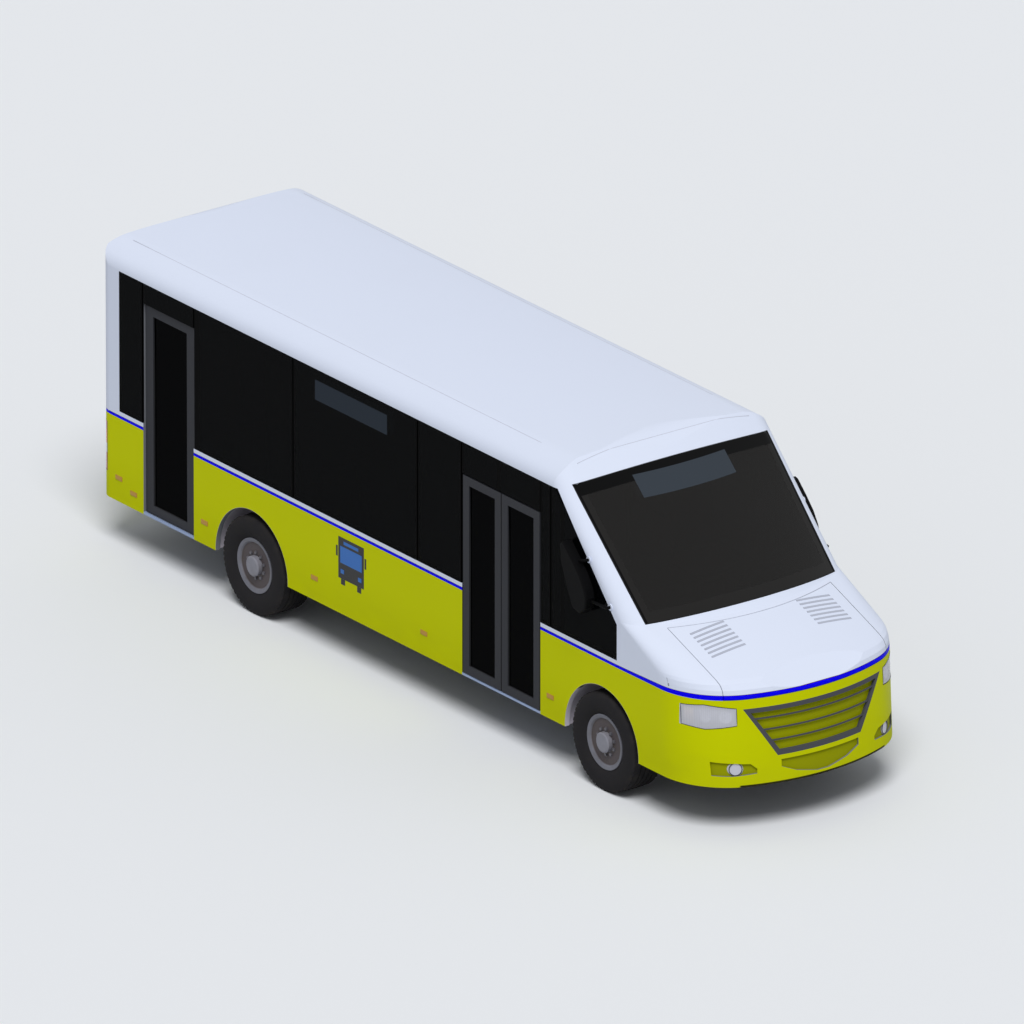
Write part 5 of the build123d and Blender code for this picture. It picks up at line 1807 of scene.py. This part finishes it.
@dataclass
class Doors(Assembly):
    """The passenger doors' leaves and the driver's door, with their rubbers and handles."""

    leaves: tuple[Leaf, ...] = (
        Leaf("front_door_rear_leaf", "front_door_rear_half", True),
        Leaf("front_door_front_leaf", "front_door_front_half", False),
        Leaf("rear_door_leaf", "rear_door", False),
    )
    bead: float = 0.006
    rail_radius: float = 0.011
    rail_share: float = 0.8
    rail_line: tuple[Span, ...] = (
        (0.004, 0.86), (0.043, 0.875), (0.051, 0.90), (0.051, 1.46), (0.043, 1.485), (0.004, 1.50),
    )
    guard: float = 0.0035
    guard_y: tuple[float, ...] = (-0.012, 0.0, 0.012)
    guard_overrun: float = 0.070
    rib: Span = (0.006, 0.0025)
    rib_count: int = 5
    rib_pitch: float = 0.014
    rib_first: float = 0.016
    rib_margin: float = 0.03
    rib_foot: float = 0.468
    handle_place: Span = (0.075, 1.165)
    handle: tuple[Box, ...] = (
        ((0.0, 0.0, -0.022), (0.150, 0.004, 0.022)),
        ((0.008, 0.0, 0.004), (0.030, 0.030, 0.018)),
        ((0.120, 0.0, 0.004), (0.142, 0.030, 0.018)),
        ((0.008, 0.022, 0.002), (0.142, 0.036, 0.020)),
    )
    lock_ahead: float = 0.165
    lock: tuple[Span, ...] = ((0.0, 0.012), (0.003, 0.011), (0.003, 0.0))

    def dress(self) -> None:
        """Paints the leaves, their glass and the steps, and adds the fittings."""
        for leaf in self.leaves:
            self.paint_nodes(door_paint=leaf.node, door_glass=leaf.node + "_glass")
            self.glass_rubber(leaf)
            self.inner_rail(leaf)
        for leaf in self.leaves:
            self.edge_guard(leaf)
        self.paint_nodes(step_tread="door_sills")
        self.step_treads()
        self.driver_handle()

    def glass_rubber(self, leaf: Leaf) -> None:
        """A rubber bead round a leaf's pane, outside and inside.

        Args:
            leaf: the leaf.
        """
        low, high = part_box(leaf.node + "_glass")
        outline = segmented([(low.x, low.z), (high.x, low.z), (high.x, high.z), (low.x, high.z)], 0.5)
        lines = [[(x, y, z) for x, z in outline] for y in (low.y, high.y)]
        beads = merged([tube(line, self.bead, sides=8, loop=True) for line in lines])
        self.fit(beads, leaf.node + "_rubber", "seal_rubber", leaf.body, "dark_plastic", smooth=True)

    def inner_rail(self, leaf: Leaf) -> None:
        """A bent grab rail on a leaf's inner face.

        Args:
            leaf: the leaf.
        """
        low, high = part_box(leaf.node)
        x, pane = part_way(low.x, high.x, self.rail_share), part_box(leaf.node + "_glass")[1].y
        rail = tube([(x, pane + off, z) for off, z in self.rail_line], self.rail_radius)
        self.fit(rail, leaf.node + "_rail", "rail_paint", leaf.body, "rail_steel", smooth=True)

    def edge_guard(self, leaf: Leaf) -> None:
        """Three beads of rubber down a leaf's closing edge.

        Args:
            leaf: the leaf.
        """
        low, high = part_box(leaf.node + "_glass")
        rear, front = (corner.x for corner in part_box(leaf.node))
        x, middle = front if leaf.closes_ahead else rear, (low.y + high.y) / 2
        ends = (low.z - self.guard_overrun, high.z + self.guard_overrun)
        beads = [tube([(x, middle + off, z) for z in ends], self.guard, sides=10) for off in self.guard_y]
        name = leaf.node + "_guard"
        self.fit(merged(beads), name, "seal_rubber", leaf.body, "dark_plastic", smooth=True)

    def step_treads(self) -> None:
        """Raised ribs along every step plate."""
        width, height = self.rib
        for index, (low, high) in enumerate(islands("door_sills")):
            face, outer = (-1, low.y) if low.y < 0 else (1, high.y)
            first = outer - face * self.rib_first - (width if face > 0 else 0.0)
            length = high.x - low.x - 2 * self.rib_margin
            self.fit_copies(
                boxes([((0, 0, 0), (length, width, height))], 0.0008),
                f"step_ribs_{index}",
                "bright_steel",
                "body",
                "step_metal",
                self.rib_count,
                step=(0.0, -face * self.rib_pitch, 0.0),
                centre=(low.x + self.rib_margin, first, self.rib_foot),
            )

    def driver_handle(self) -> None:
        """The driver's door's pull handle and its lock."""
        ahead, z = self.handle_place
        x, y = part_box("driver_door")[0].x + ahead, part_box("left_side_wall")[1].y
        handle = boxes(moved(self.handle, (x, y, z)), 0.002)
        self.fit(handle, "driver_door_handle", "black_moulding", "cab_door", "dark_plastic")
        lock = disc(Vector((x + self.lock_ahead, y, z)), Vector((0, 1, 0)), self.lock, segments=24)
        self.fit(lock, "driver_door_lock", "bright_steel", "cab_door", "dark_plastic", smooth=True)


@dataclass
class Wheels(Assembly):
    """Four wheels: turned tyres with moulded tread, painted rims and their nuts."""

    turn_steps: int = 128
    bead: float = 0.2375
    lower_wall: tuple[Span, ...] = (
        (0.77, 0.0), (0.78, 0.010), (0.80, 0.020), (0.85, 0.034),
        (0.91, 0.052), (0.955, 0.072), (0.985, 0.096), (1.0, 0.122),
    )
    upper_wall: tuple[Span, ...] = (
        (0.998, 0.080), (0.985, 0.055), (0.955, 0.034), (0.915, 0.019), (0.86, 0.009), (0.79, 0.003),
    )
    tread_sunk: float = 0.0005
    lip_sunk: float = 0.0002
    groove_depth: float = 0.011
    groove_half: float = 0.006
    groove_floor: float = 0.6
    grooves: tuple[float, ...] = (-0.078, -0.027, 0.027, 0.078)
    lug_count: int = 54
    lug_share: float = 0.34
    lug_y: Span = (0.56, 0.88)
    lug_sunk: Span = (0.016, 0.0035)
    nut_count: int = 10
    nut_circle: float = 0.122
    nut_face: float = 0.128
    nut: tuple[float, float, int] = (0.016, 0.014, 6)
    washer: tuple[float, float, int] = (0.019, 0.003, 20)

    def dress(self) -> None:
        """Builds all four wheels."""
        for axle in Axle:
            for side in Side:
                self.wheel(axle, side)

    def wheel(self, axle: Axle, side: Side) -> None:
        """One wheel: its tyre, shoulder lugs, rim finish and nuts.

        Args:
            axle: front or rear.
            side: right or left.
        """
        label = f"{axle.value}_{side.name.lower()}"
        body = "wheel_" + label
        low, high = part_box("tyre_" + label)
        centre = (low + high) / 2
        half, radius = (high.y - low.y) / 2, (high.z - low.z) / 2
        rubber = "tyre_rubber_" + axle.value
        section = self.tyre_section(half, radius - self.tread_sunk)
        carcass = sharpen(lathe(section, tuple(centre), self.turn_steps), math.radians(35))
        tyre = self.fit(carcass, f"tyre_{label}_carcass", rubber, body, "tyre", smooth=True)
        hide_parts("tyre_" + label)
        ring = {"turn": (0.0, 2 * math.pi / self.lug_count, 0.0), "centre": tuple(centre)}
        lug = self.lug(half, radius)
        self.fit_copies(lug, f"tyre_{label}_lugs", rubber, body, "tyre", self.lug_count, **ring)
        self.paint_nodes(**{"rim_paint_" + axle.value: "rim_" + label})
        ring["turn"] = (0.0, 2 * math.pi / self.nut_count, 0.0)
        nut = self.wheel_nut(side)
        self.fit_copies(nut, "nuts_" + label, "nut_steel", body, "rim_steel", self.nut_count, **ring)

    def tyre_section(self, half: float, radius: float) -> list[Span]:
        """The tyre's section from one bead over the tread to the other.

        Args:
            half: half the tyre's width.
            radius: the tread's radius.

        Returns:
            (Y, radius) points.
        """
        wall = [(share * half, self.bead + rise) for share, rise in self.lower_wall]
        wall += [(share * half, radius - drop) for share, drop in self.upper_wall]
        crown = []
        for middle in sorted(self.grooves, reverse=True):
            lip, floor = self.groove_half, self.groove_half * self.groove_floor
            crown += [
                (middle + lip, radius - self.lip_sunk),
                (middle + floor, radius - self.groove_depth),
                (middle - floor, radius - self.groove_depth),
                (middle - lip, radius - self.lip_sunk),
            ]
        return wall + crown + [(-y, r) for y, r in reversed(wall)]

    def lug(self, half: float, radius: float) -> Mesh:
        """A small lug on each shoulder of the tread.

        Args:
            half: half the tyre's width.
            radius: the tread's radius.

        Returns:
            The pair, at the top of a wheel round the origin.
        """
        reach = 2 * math.pi * radius / self.lug_count * self.lug_share
        foot, head = (radius - sunk for sunk in self.lug_sunk)
        rows = []
        for sign in (-1, 1):
            near, far = sorted(sign * half * share for share in self.lug_y)
            rows.append(((-reach, near, foot), (reach, far, head)))
        return boxes(rows, 0.002)

    def wheel_nut(self, side: Side) -> Mesh:
        """A wheel nut on its washer.

        Args:
            side: right or left.

        Returns:
            The nut, at the top of a wheel round the origin.
        """
        build = bmesh.new()
        turn = Matrix.Rotation(math.pi / 2, 4, "X")
        for radius, depth, sides in (self.nut, self.washer):
            place = (0, side.value * (self.nut_face + depth / 2), self.nut_circle)
            size = {"segments": sides, "radius1": radius, "radius2": radius, "depth": depth}
            bmesh.ops.create_cone(build, cap_ends=True, matrix=Matrix.Translation(place) @ turn, **size)
        return mesh_of(build)


@dataclass
class Underbody(Assembly):
    """Chassis, axles, springs, tank, exhaust and wheel houses."""

    def dress(self) -> None:
        """Gives each node its finish."""
        self.paint_nodes(
            chassis_paint="chassis_frame leaf_springs tie_rod propshaft",
            axle_iron="front_axle rear_axle knuckle_left knuckle_right engine exhaust",
            tank_skin="fuel_tank",
            liner="wheel_houses",
        )


@dataclass
class Interior(Assembly):
    """Floor, cab, seats, poles and signs."""

    seat_width: float = 0.42
    seat_gap: float = 0.012
    seat_rise: float = 0.45
    shell: float = 0.012
    shell_dish: float = 0.016
    shell_bulge: float = 0.020
    shell_ends: float = 0.97
    shell_across: tuple[float, ...] = (-1.0, -0.96, -0.8, -0.45, 0.0, 0.45, 0.8, 0.96, 1.0)
    shell_up: tuple[float, ...] = (0.0, 0.08, 0.2, 0.4, 0.6, 0.8, 0.93, 1.0)
    shell_seat: tuple[Span, ...] = (
        (0.004, -0.055), (0.006, -0.022), (0.030, -0.008), (0.12, -0.014), (0.25, -0.022), (0.34, -0.018),
    )
    shell_foot: Span = (0.385, 0.030)
    shell_head: Span = (0.022, 0.012)
    stand_back: float = 0.22
    stand_inset: float = 0.4
    stand_half: Span = (0.05, 0.045)
    stand_foot: Point = (0.11, 0.09, 0.008)
    beam_x: Span = (0.36, 0.06)
    beam_inset: float = 0.03
    beam_under: Span = (0.065, 0.045)
    driver_rise: float = 0.39
    base_inset: float = 0.015
    spine_half: float = 0.16
    spine_radius: float = 0.012
    hood_back: float = 0.19
    hood: tuple[Box, ...] = (
        ((-0.01, -0.21, -0.012), (0.10, 0.21, 0.055)),
        ((-0.03, -0.22, 0.045), (0.11, 0.22, 0.062)),
    )
    dials: tuple[Span, ...] = ((-0.09, 0.024), (0.09, 0.024), (0.0, 0.018))
    dial_place: Span = (-0.0095, 0.018)
    vent_slat: Point = (0.006, 0.16, 0.005)
    vent_count: int = 5
    vent_pitch: float = 0.012
    vent_y: tuple[float, ...] = (-0.62, -0.08, 0.30)
    vent_back: float = 0.05
    lever_radius: float = 0.009
    lever_y: float = -0.36
    lever_line: tuple[Span, ...] = ((-0.22, 0.0), (-0.24, 0.25), (-0.30, 0.42))
    pedal_y: tuple[float, ...] = (-0.12, 0.0, 0.12)
    pedal_pad: Box = ((-0.02, -0.03, 0.05), (0.0, 0.03, 0.13))
    pedal_arm: Box = ((-0.006, -0.008, 0.0), (0.006, 0.008, 0.06))
    flange: tuple[Span, ...] = (
        (0.0, 0.036), (0.004, 0.036), (0.007, 0.030), (0.018, 0.021), (0.018, 0.0162), (0.0, 0.0162),
        (0.0, 0.036),
    )

    def dress(self) -> None:
        """Gives each node its finish and adds seats, cushions and cab fittings."""
        self.paint_nodes(
            floor_vinyl="floor cab_platform",
            seat_shell="passenger_seats",
            dash_moulding="driver_seat dashboard",
            black_moulding="steering_wheel",
            rail_paint="handrails",
            sign_face="route_displays",
        )
        self.passenger_seats()
        self.driver_pads()
        self.driver_frame()
        self.instruments()
        self.vents()
        self.controls()
        self.pole_flanges()

    def seat_section(self, low: Vector, high: Vector) -> list[Span]:
        """The middle line of a moulded seat in X and Z, from its front lip to the top of its back.

        Args:
            low: the lowest corner of the bench's box.
            high: its highest corner.

        Returns:
            (X, Z) points.
        """
        seat_top = low.z + self.seat_rise
        line = [(high.x - back, seat_top + lift) for back, lift in self.shell_seat]
        foot = Vector((high.x - self.shell_foot[0], seat_top + self.shell_foot[1]))
        head = Vector((low.x + self.shell_head[0], high.z - self.shell_head[1]))
        for share in self.shell_up:
            spot = foot + (head - foot) * share
            line.append((spot.x + self.shell_bulge * math.sin(math.pi * share), spot.y))
        return line

    def passenger_seats(self) -> None:
        """Moulded shells on pedestals in place of the plain benches."""
        build = bmesh.new()
        stands = []
        for low, high in islands("passenger_seats"):
            count = round((high.y - low.y) / self.seat_width)
            pitch = (high.y - low.y) / count
            line = self.seat_section(low, high)
            for i in range(count):
                self.seat_shell(build, line, low.y + pitch * (i + 0.5), pitch - self.seat_gap)
            stands += self.seat_stand(low, high, count)
        shells = sharpen(mesh_of(build), math.radians(50))
        piece = self.fit(shells, "seat_shells", "seat_shell", "body", "seat_plastic", smooth=True)
        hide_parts("passenger_seats")
        self.fit(boxes(stands, 0.003), "seat_stands", "chassis_paint", "body", "chassis_steel")

    def seat_stand(self, low: Vector, high: Vector, count: int) -> list[Box]:
        """The posts with their foot plates and the beam under one bench.

        Args:
            low: the lowest corner of the bench's box.
            high: its highest corner.
            count: the number of seats.

        Returns:
            The boxes.
        """
        x, floor_top, middle = high.x - self.stand_back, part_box("floor")[1].z, (low.y + high.y) / 2
        beam_foot, beam_head = (low.z + self.seat_rise - under for under in self.beam_under)
        (half_x, half_y), (foot_x, foot_y, thick) = self.stand_half, self.stand_foot
        rows = []
        for y in [middle] if count <= 2 else [low.y + self.stand_inset, middle, high.y - self.stand_inset]:
            rows.append(((x - half_x, y - half_y, floor_top), (x + half_x, y + half_y, beam_head)))
            rows.append(((x - foot_x, y - foot_y, floor_top), (x + foot_x, y + foot_y, floor_top + thick)))
        (rear, front), inset = (high.x - back for back in self.beam_x), self.beam_inset
        rows.append(((rear, low.y + inset, beam_foot), (front, high.y - inset, beam_head)))
        return rows

    def seat_shell(self, build: Build, line: Sequence[Span], middle: float, width: float) -> None:
        """Adds one dished shell to a bmesh.

        Args:
            build: the bmesh.
            line: the shell's middle line in X and Z.
            middle: the Y of its centre.
            width: its width.
        """
        last, wide = len(line) - 1, len(self.shell_across) - 1
        front, back = [], []
        for index, (x, z) in enumerate(line):
            ahead = Vector(line[min(index + 1, last)]) - Vector(line[max(index - 1, 0)])
            normal = Vector((ahead.y, -ahead.x)).normalized()
            reach = (self.shell_ends if index in (0, last) else 1.0) * width / 2
            rows: list[list[Vert]] = [[], []]
            for share in self.shell_across:
                for off, row in zip((0.0, self.shell), rows):
                    out = self.shell_dish * share**4 - off
                    spot = (x + normal.x * out, middle + share * reach, z + normal.y * out)
                    row.append(build.verts.new(spot))
            front.append(rows[0])
            back.append(rows[1])
        for i in range(last):
            for j in range(wide):
                build.faces.new((front[i][j], front[i + 1][j], front[i + 1][j + 1], front[i][j + 1]))
                build.faces.new((back[i][j + 1], back[i + 1][j + 1], back[i + 1][j], back[i][j]))
            for j in (0, wide):
                build.faces.new((front[i][j], back[i][j], back[i + 1][j], front[i + 1][j]))
        for i in (0, last):
            for j in range(wide):
                build.faces.new((front[i][j], front[i][j + 1], back[i][j + 1], back[i][j]))

    def driver_pads(self) -> None:
        """The driver's cushion and back pad."""
        low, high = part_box("driver_seat")
        seat_top, width = low.z + self.driver_rise, high.y - low.y
        cushion = Pillow((0.47, width - 0.02, 0.10), (-0.25, 0.25))
        back = Pillow((0.55, width - 0.03, 0.085), (-0.3, 0.0, 0.3))
        for name, pillow, x, z, lean in (
            ("driver_cushion", cushion, high.x - 0.245, seat_top - 0.052, 0.0),
            ("driver_back", back, high.x - 0.425, seat_top + 0.32, math.radians(98)),
        ):
            mesh = pillow.make()
            place = Matrix.Translation((x, (low.y + high.y) / 2, z))
            mesh.transform(place @ Matrix.Rotation(-lean, 4, "Y"))
            pad = self.fit(mesh, name, "seat_fabric", "body", "seat_plastic", smooth=True)

    def driver_frame(self) -> None:
        """The moulded base and the bent spine that carry the driver's pads."""
        low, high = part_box("driver_seat")
        middle, rise = (low.y + high.y) / 2, self.driver_rise
        half = (high.y - low.y) / 2 - self.base_inset
        rows = [
            ((-0.47, -half, rise - 0.105), (-0.02, half, rise - 0.085)),
            ((-0.40, -0.13, 0.0), (-0.10, 0.13, rise - 0.20)),
            ((-0.36, -0.10, rise - 0.21), (-0.14, 0.10, rise - 0.10)),
        ]
        base = boxes(moved(rows, (high.x, middle, low.z)), 0.006)
        self.fit(base, "driver_seat_base", "dash_moulding", "body", "seat_plastic")
        right, left = middle - self.spine_half, middle + self.spine_half
        foot_x, foot_z = high.x - 0.46, low.z + rise - 0.09
        head_x, head_z = low.x + 0.03, high.z - 0.06
        line = [(foot_x, right, foot_z), (head_x, right, head_z)]
        line += [(head_x, left, head_z), (foot_x, left, foot_z)]
        spine = tube(line, self.spine_radius)
        piece = self.fit(spine, "driver_seat_spine", "black_moulding", "body", "dark_plastic", smooth=True)
        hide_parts("driver_seat")

    def driver_place(self) -> Point:
        """Where the instruments stand: ahead of the steering wheel, on the dashboard's top."""
        (right, left), dash = (corner.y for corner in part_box("steering_wheel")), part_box("dashboard")[1]
        return (dash.x - self.hood_back, (right + left) / 2, dash.z)

    def instruments(self) -> None:
        """The instrument hood and its dials."""
        x, y, z = self.driver_place()
        hood = boxes(moved(self.hood, (x, y, z)), 0.008)
        self.fit(hood, "instrument_hood", "dash_moulding", "body", "dark_plastic")
        back, lift = self.dial_place
        dials = []
        for off, radius in self.dials:
            glass, rim = radius - 0.006, radius - 0.004
            profile = ((-0.004, radius), (0.003, radius), (0.003, rim), (0.001, glass), (0.001, 0.0))
            centre = Vector((x + back, y + off, z + lift))
            dials.append(disc(centre, Vector((-1, 0, 0)), profile, segments=32))
        self.fit(merged(dials), "instrument_dials", "instrument_face", "body", "dark_plastic", smooth=True)

    def vents(self) -> None:
        """Slatted vents in the dashboard's top."""
        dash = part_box("dashboard")[1]
        slat = boxes([((0, 0, 0), self.vent_slat)], 0.001)
        row = {"step": (-self.vent_pitch, 0.0, 0.0)}
        for index, y in enumerate(self.vent_y):
            row["centre"] = (dash.x - self.vent_back, y, dash.z)
            name = f"dash_vent_{index}"
            self.fit_copies(slat, name, "black_moulding", "body", "dark_plastic", self.vent_count, **row)

    def controls(self) -> None:
        """The gear lever and the three pedals."""
        x, y, _ = self.driver_place()
        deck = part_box("cab_platform")[1].z
        line = [(x + back, y + self.lever_y, deck + lift) for back, lift in self.lever_line]
        lever = tube(line, self.lever_radius)
        self.fit(lever, "gear_lever", "black_moulding", "body", "dark_plastic", smooth=True)
        rows: list[Box] = []
        for part in (self.pedal_pad, self.pedal_arm):
            for off in self.pedal_y:
                rows += moved([part], (x, y + off, deck))
        self.fit(boxes(rows, 0.003), "pedals", "black_moulding", "body", "dark_plastic")

    def pole_flanges(self) -> None:
        """A flange with its rim at the foot of every pole."""
        floor_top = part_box("floor")[1].z
        flanges = []
        for low, high in islands("handrails"):
            centre = Vector(((low.x + high.x) / 2, (low.y + high.y) / 2, floor_top))
            flanges.append(disc(centre, Vector((0, 0, 1)), self.flange, segments=32))
        self.fit(merged(flanges), "pole_flanges", "bright_steel", "body", "rail_steel", smooth=True)


# ---------------- studio
@dataclass(frozen=True)
class Studio:
    """The floor, the lights and the camera."""

    floor_radius: float = 55.0
    floor_colour: Colour = srgb(238, 240, 243)
    floor_bounce: Colour = srgb(200, 202, 205)
    backdrop: Colour = (0.86, 0.875, 0.90, 1.0)
    sky_colour: Colour = (0.93, 0.96, 1.0, 1.0)
    sky_strength: float = 0.32
    sun_strength: float = 2.25
    sun_angle: float = 0.5
    sun_from: Point = (0.42, -0.31, 0.85)
    back: Point = (0.7430, -0.5560, 0.3730)
    right: Point = (0.5989, 0.8008, 0.0)
    aim_right: float = 0.0006
    aim_up: float = 1.3404
    lens: float = 1500.0
    frame_width: float = 9.116

    def make(self) -> None:
        """Builds everything of the studio."""
        self.floor()
        self.sky()
        self.sun()
        self.camera()
        bpy.context.scene.view_settings.view_transform = "Standard"

    def floor(self) -> None:
        """A plain pale floor."""
        build = bmesh.new()
        bmesh.ops.create_circle(build, cap_ends=True, segments=96, radius=self.floor_radius)
        paint = Paint("studio_floor")
        rays = paint.node("ShaderNodeLightPath")
        kinds = [Num(paint, rays.outputs[f"Is {kind} Ray"]) for kind in ("Camera", "Glossy", "Transmission")]
        seen = kinds[0].at_least(kinds[1]).at_least(kinds[2])
        paint.surface(Base_Color=paint.mix(seen, self.floor_bounce, self.floor_colour), Roughness=0.9)
        finish_mesh(written(build), "studio_floor", paint.material, False)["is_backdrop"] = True

    def sky(self) -> None:
        """Soft even light, and a pale backdrop for the camera and in reflections."""
        world = bpy.data.worlds.new("studio_sky")
        bpy.context.scene.world = world
        world.use_nodes = True
        tree = Nodes(world.node_tree)
        rays = tree.node("ShaderNodeLightPath").outputs
        seen = rays["Is Camera Ray"]
        for kind in ("Is Transmission Ray", "Is Glossy Ray"):
            seen = tree.node("ShaderNodeMath", {"operation": "MAXIMUM"}, [seen, rays[kind]]).outputs[0]
        even = {"Color": self.sky_colour, "Strength": self.sky_strength}
        light = tree.node("ShaderNodeBackground", None, even).outputs[0]
        shown = tree.node("ShaderNodeBackground", None, {"Color": self.backdrop}).outputs[0]
        mix = tree.node("ShaderNodeMixShader", None, [seen, light, shown])
        tree.node("ShaderNodeOutputWorld", None, {"Surface": mix.outputs[0]})

    def sun(self) -> None:
        """One broad soft light from above and ahead."""
        lamp = bpy.data.lights.new("soft_sun", "SUN")
        lamp.energy = self.sun_strength
        lamp.angle = self.sun_angle
        holder = bpy.data.objects.new("soft_sun", lamp)
        holder.rotation_euler = Vector(self.sun_from).to_track_quat("Z", "Y").to_euler()
        holder.visible_glossy = False
        bpy.context.scene.collection.objects.link(holder)

    def camera(self) -> None:
        """A very long lens, nearly without perspective."""
        data = bpy.data.cameras.new("camera")
        data.lens = self.lens
        data.sensor_width = 36.0
        back, right = Vector(self.back).normalized(), Vector(self.right).normalized()
        up = back.cross(right)
        right = up.cross(back)
        distance = self.frame_width * self.lens / data.sensor_width
        target = right * self.aim_right + up * self.aim_up
        turn = Matrix((right, up, back)).transposed().to_4x4()
        holder = bpy.data.objects.new("camera", data)
        holder.matrix_world = Matrix.Translation(target + back * distance) @ turn
        data.clip_start, data.clip_end = 1.0, distance * 1.3
        bpy.context.scene.collection.objects.link(holder)
        bpy.context.scene.camera = holder


def main() -> None:
    """Builds every sub-assembly in order."""
    logging.basicConfig(level=logging.INFO, format="%(name)s %(message)s")
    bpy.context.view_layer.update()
    places = {}
    for axle in Axle:
        low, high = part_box(f"tyre_{axle.value}_right")
        places[axle] = ((low.x + high.x) / 2, (low.z + high.z) / 2)
    finishes, repeat = Finishes(places), Repeat()
    Studio().make()
    for kind in (BodyShell, Lamps, Doors, Wheels, Underbody, Interior):
        kind(finishes, repeat).dress()
        LOG.info("%s done", kind.__name__)


if __name__ == "__main__":
    main()
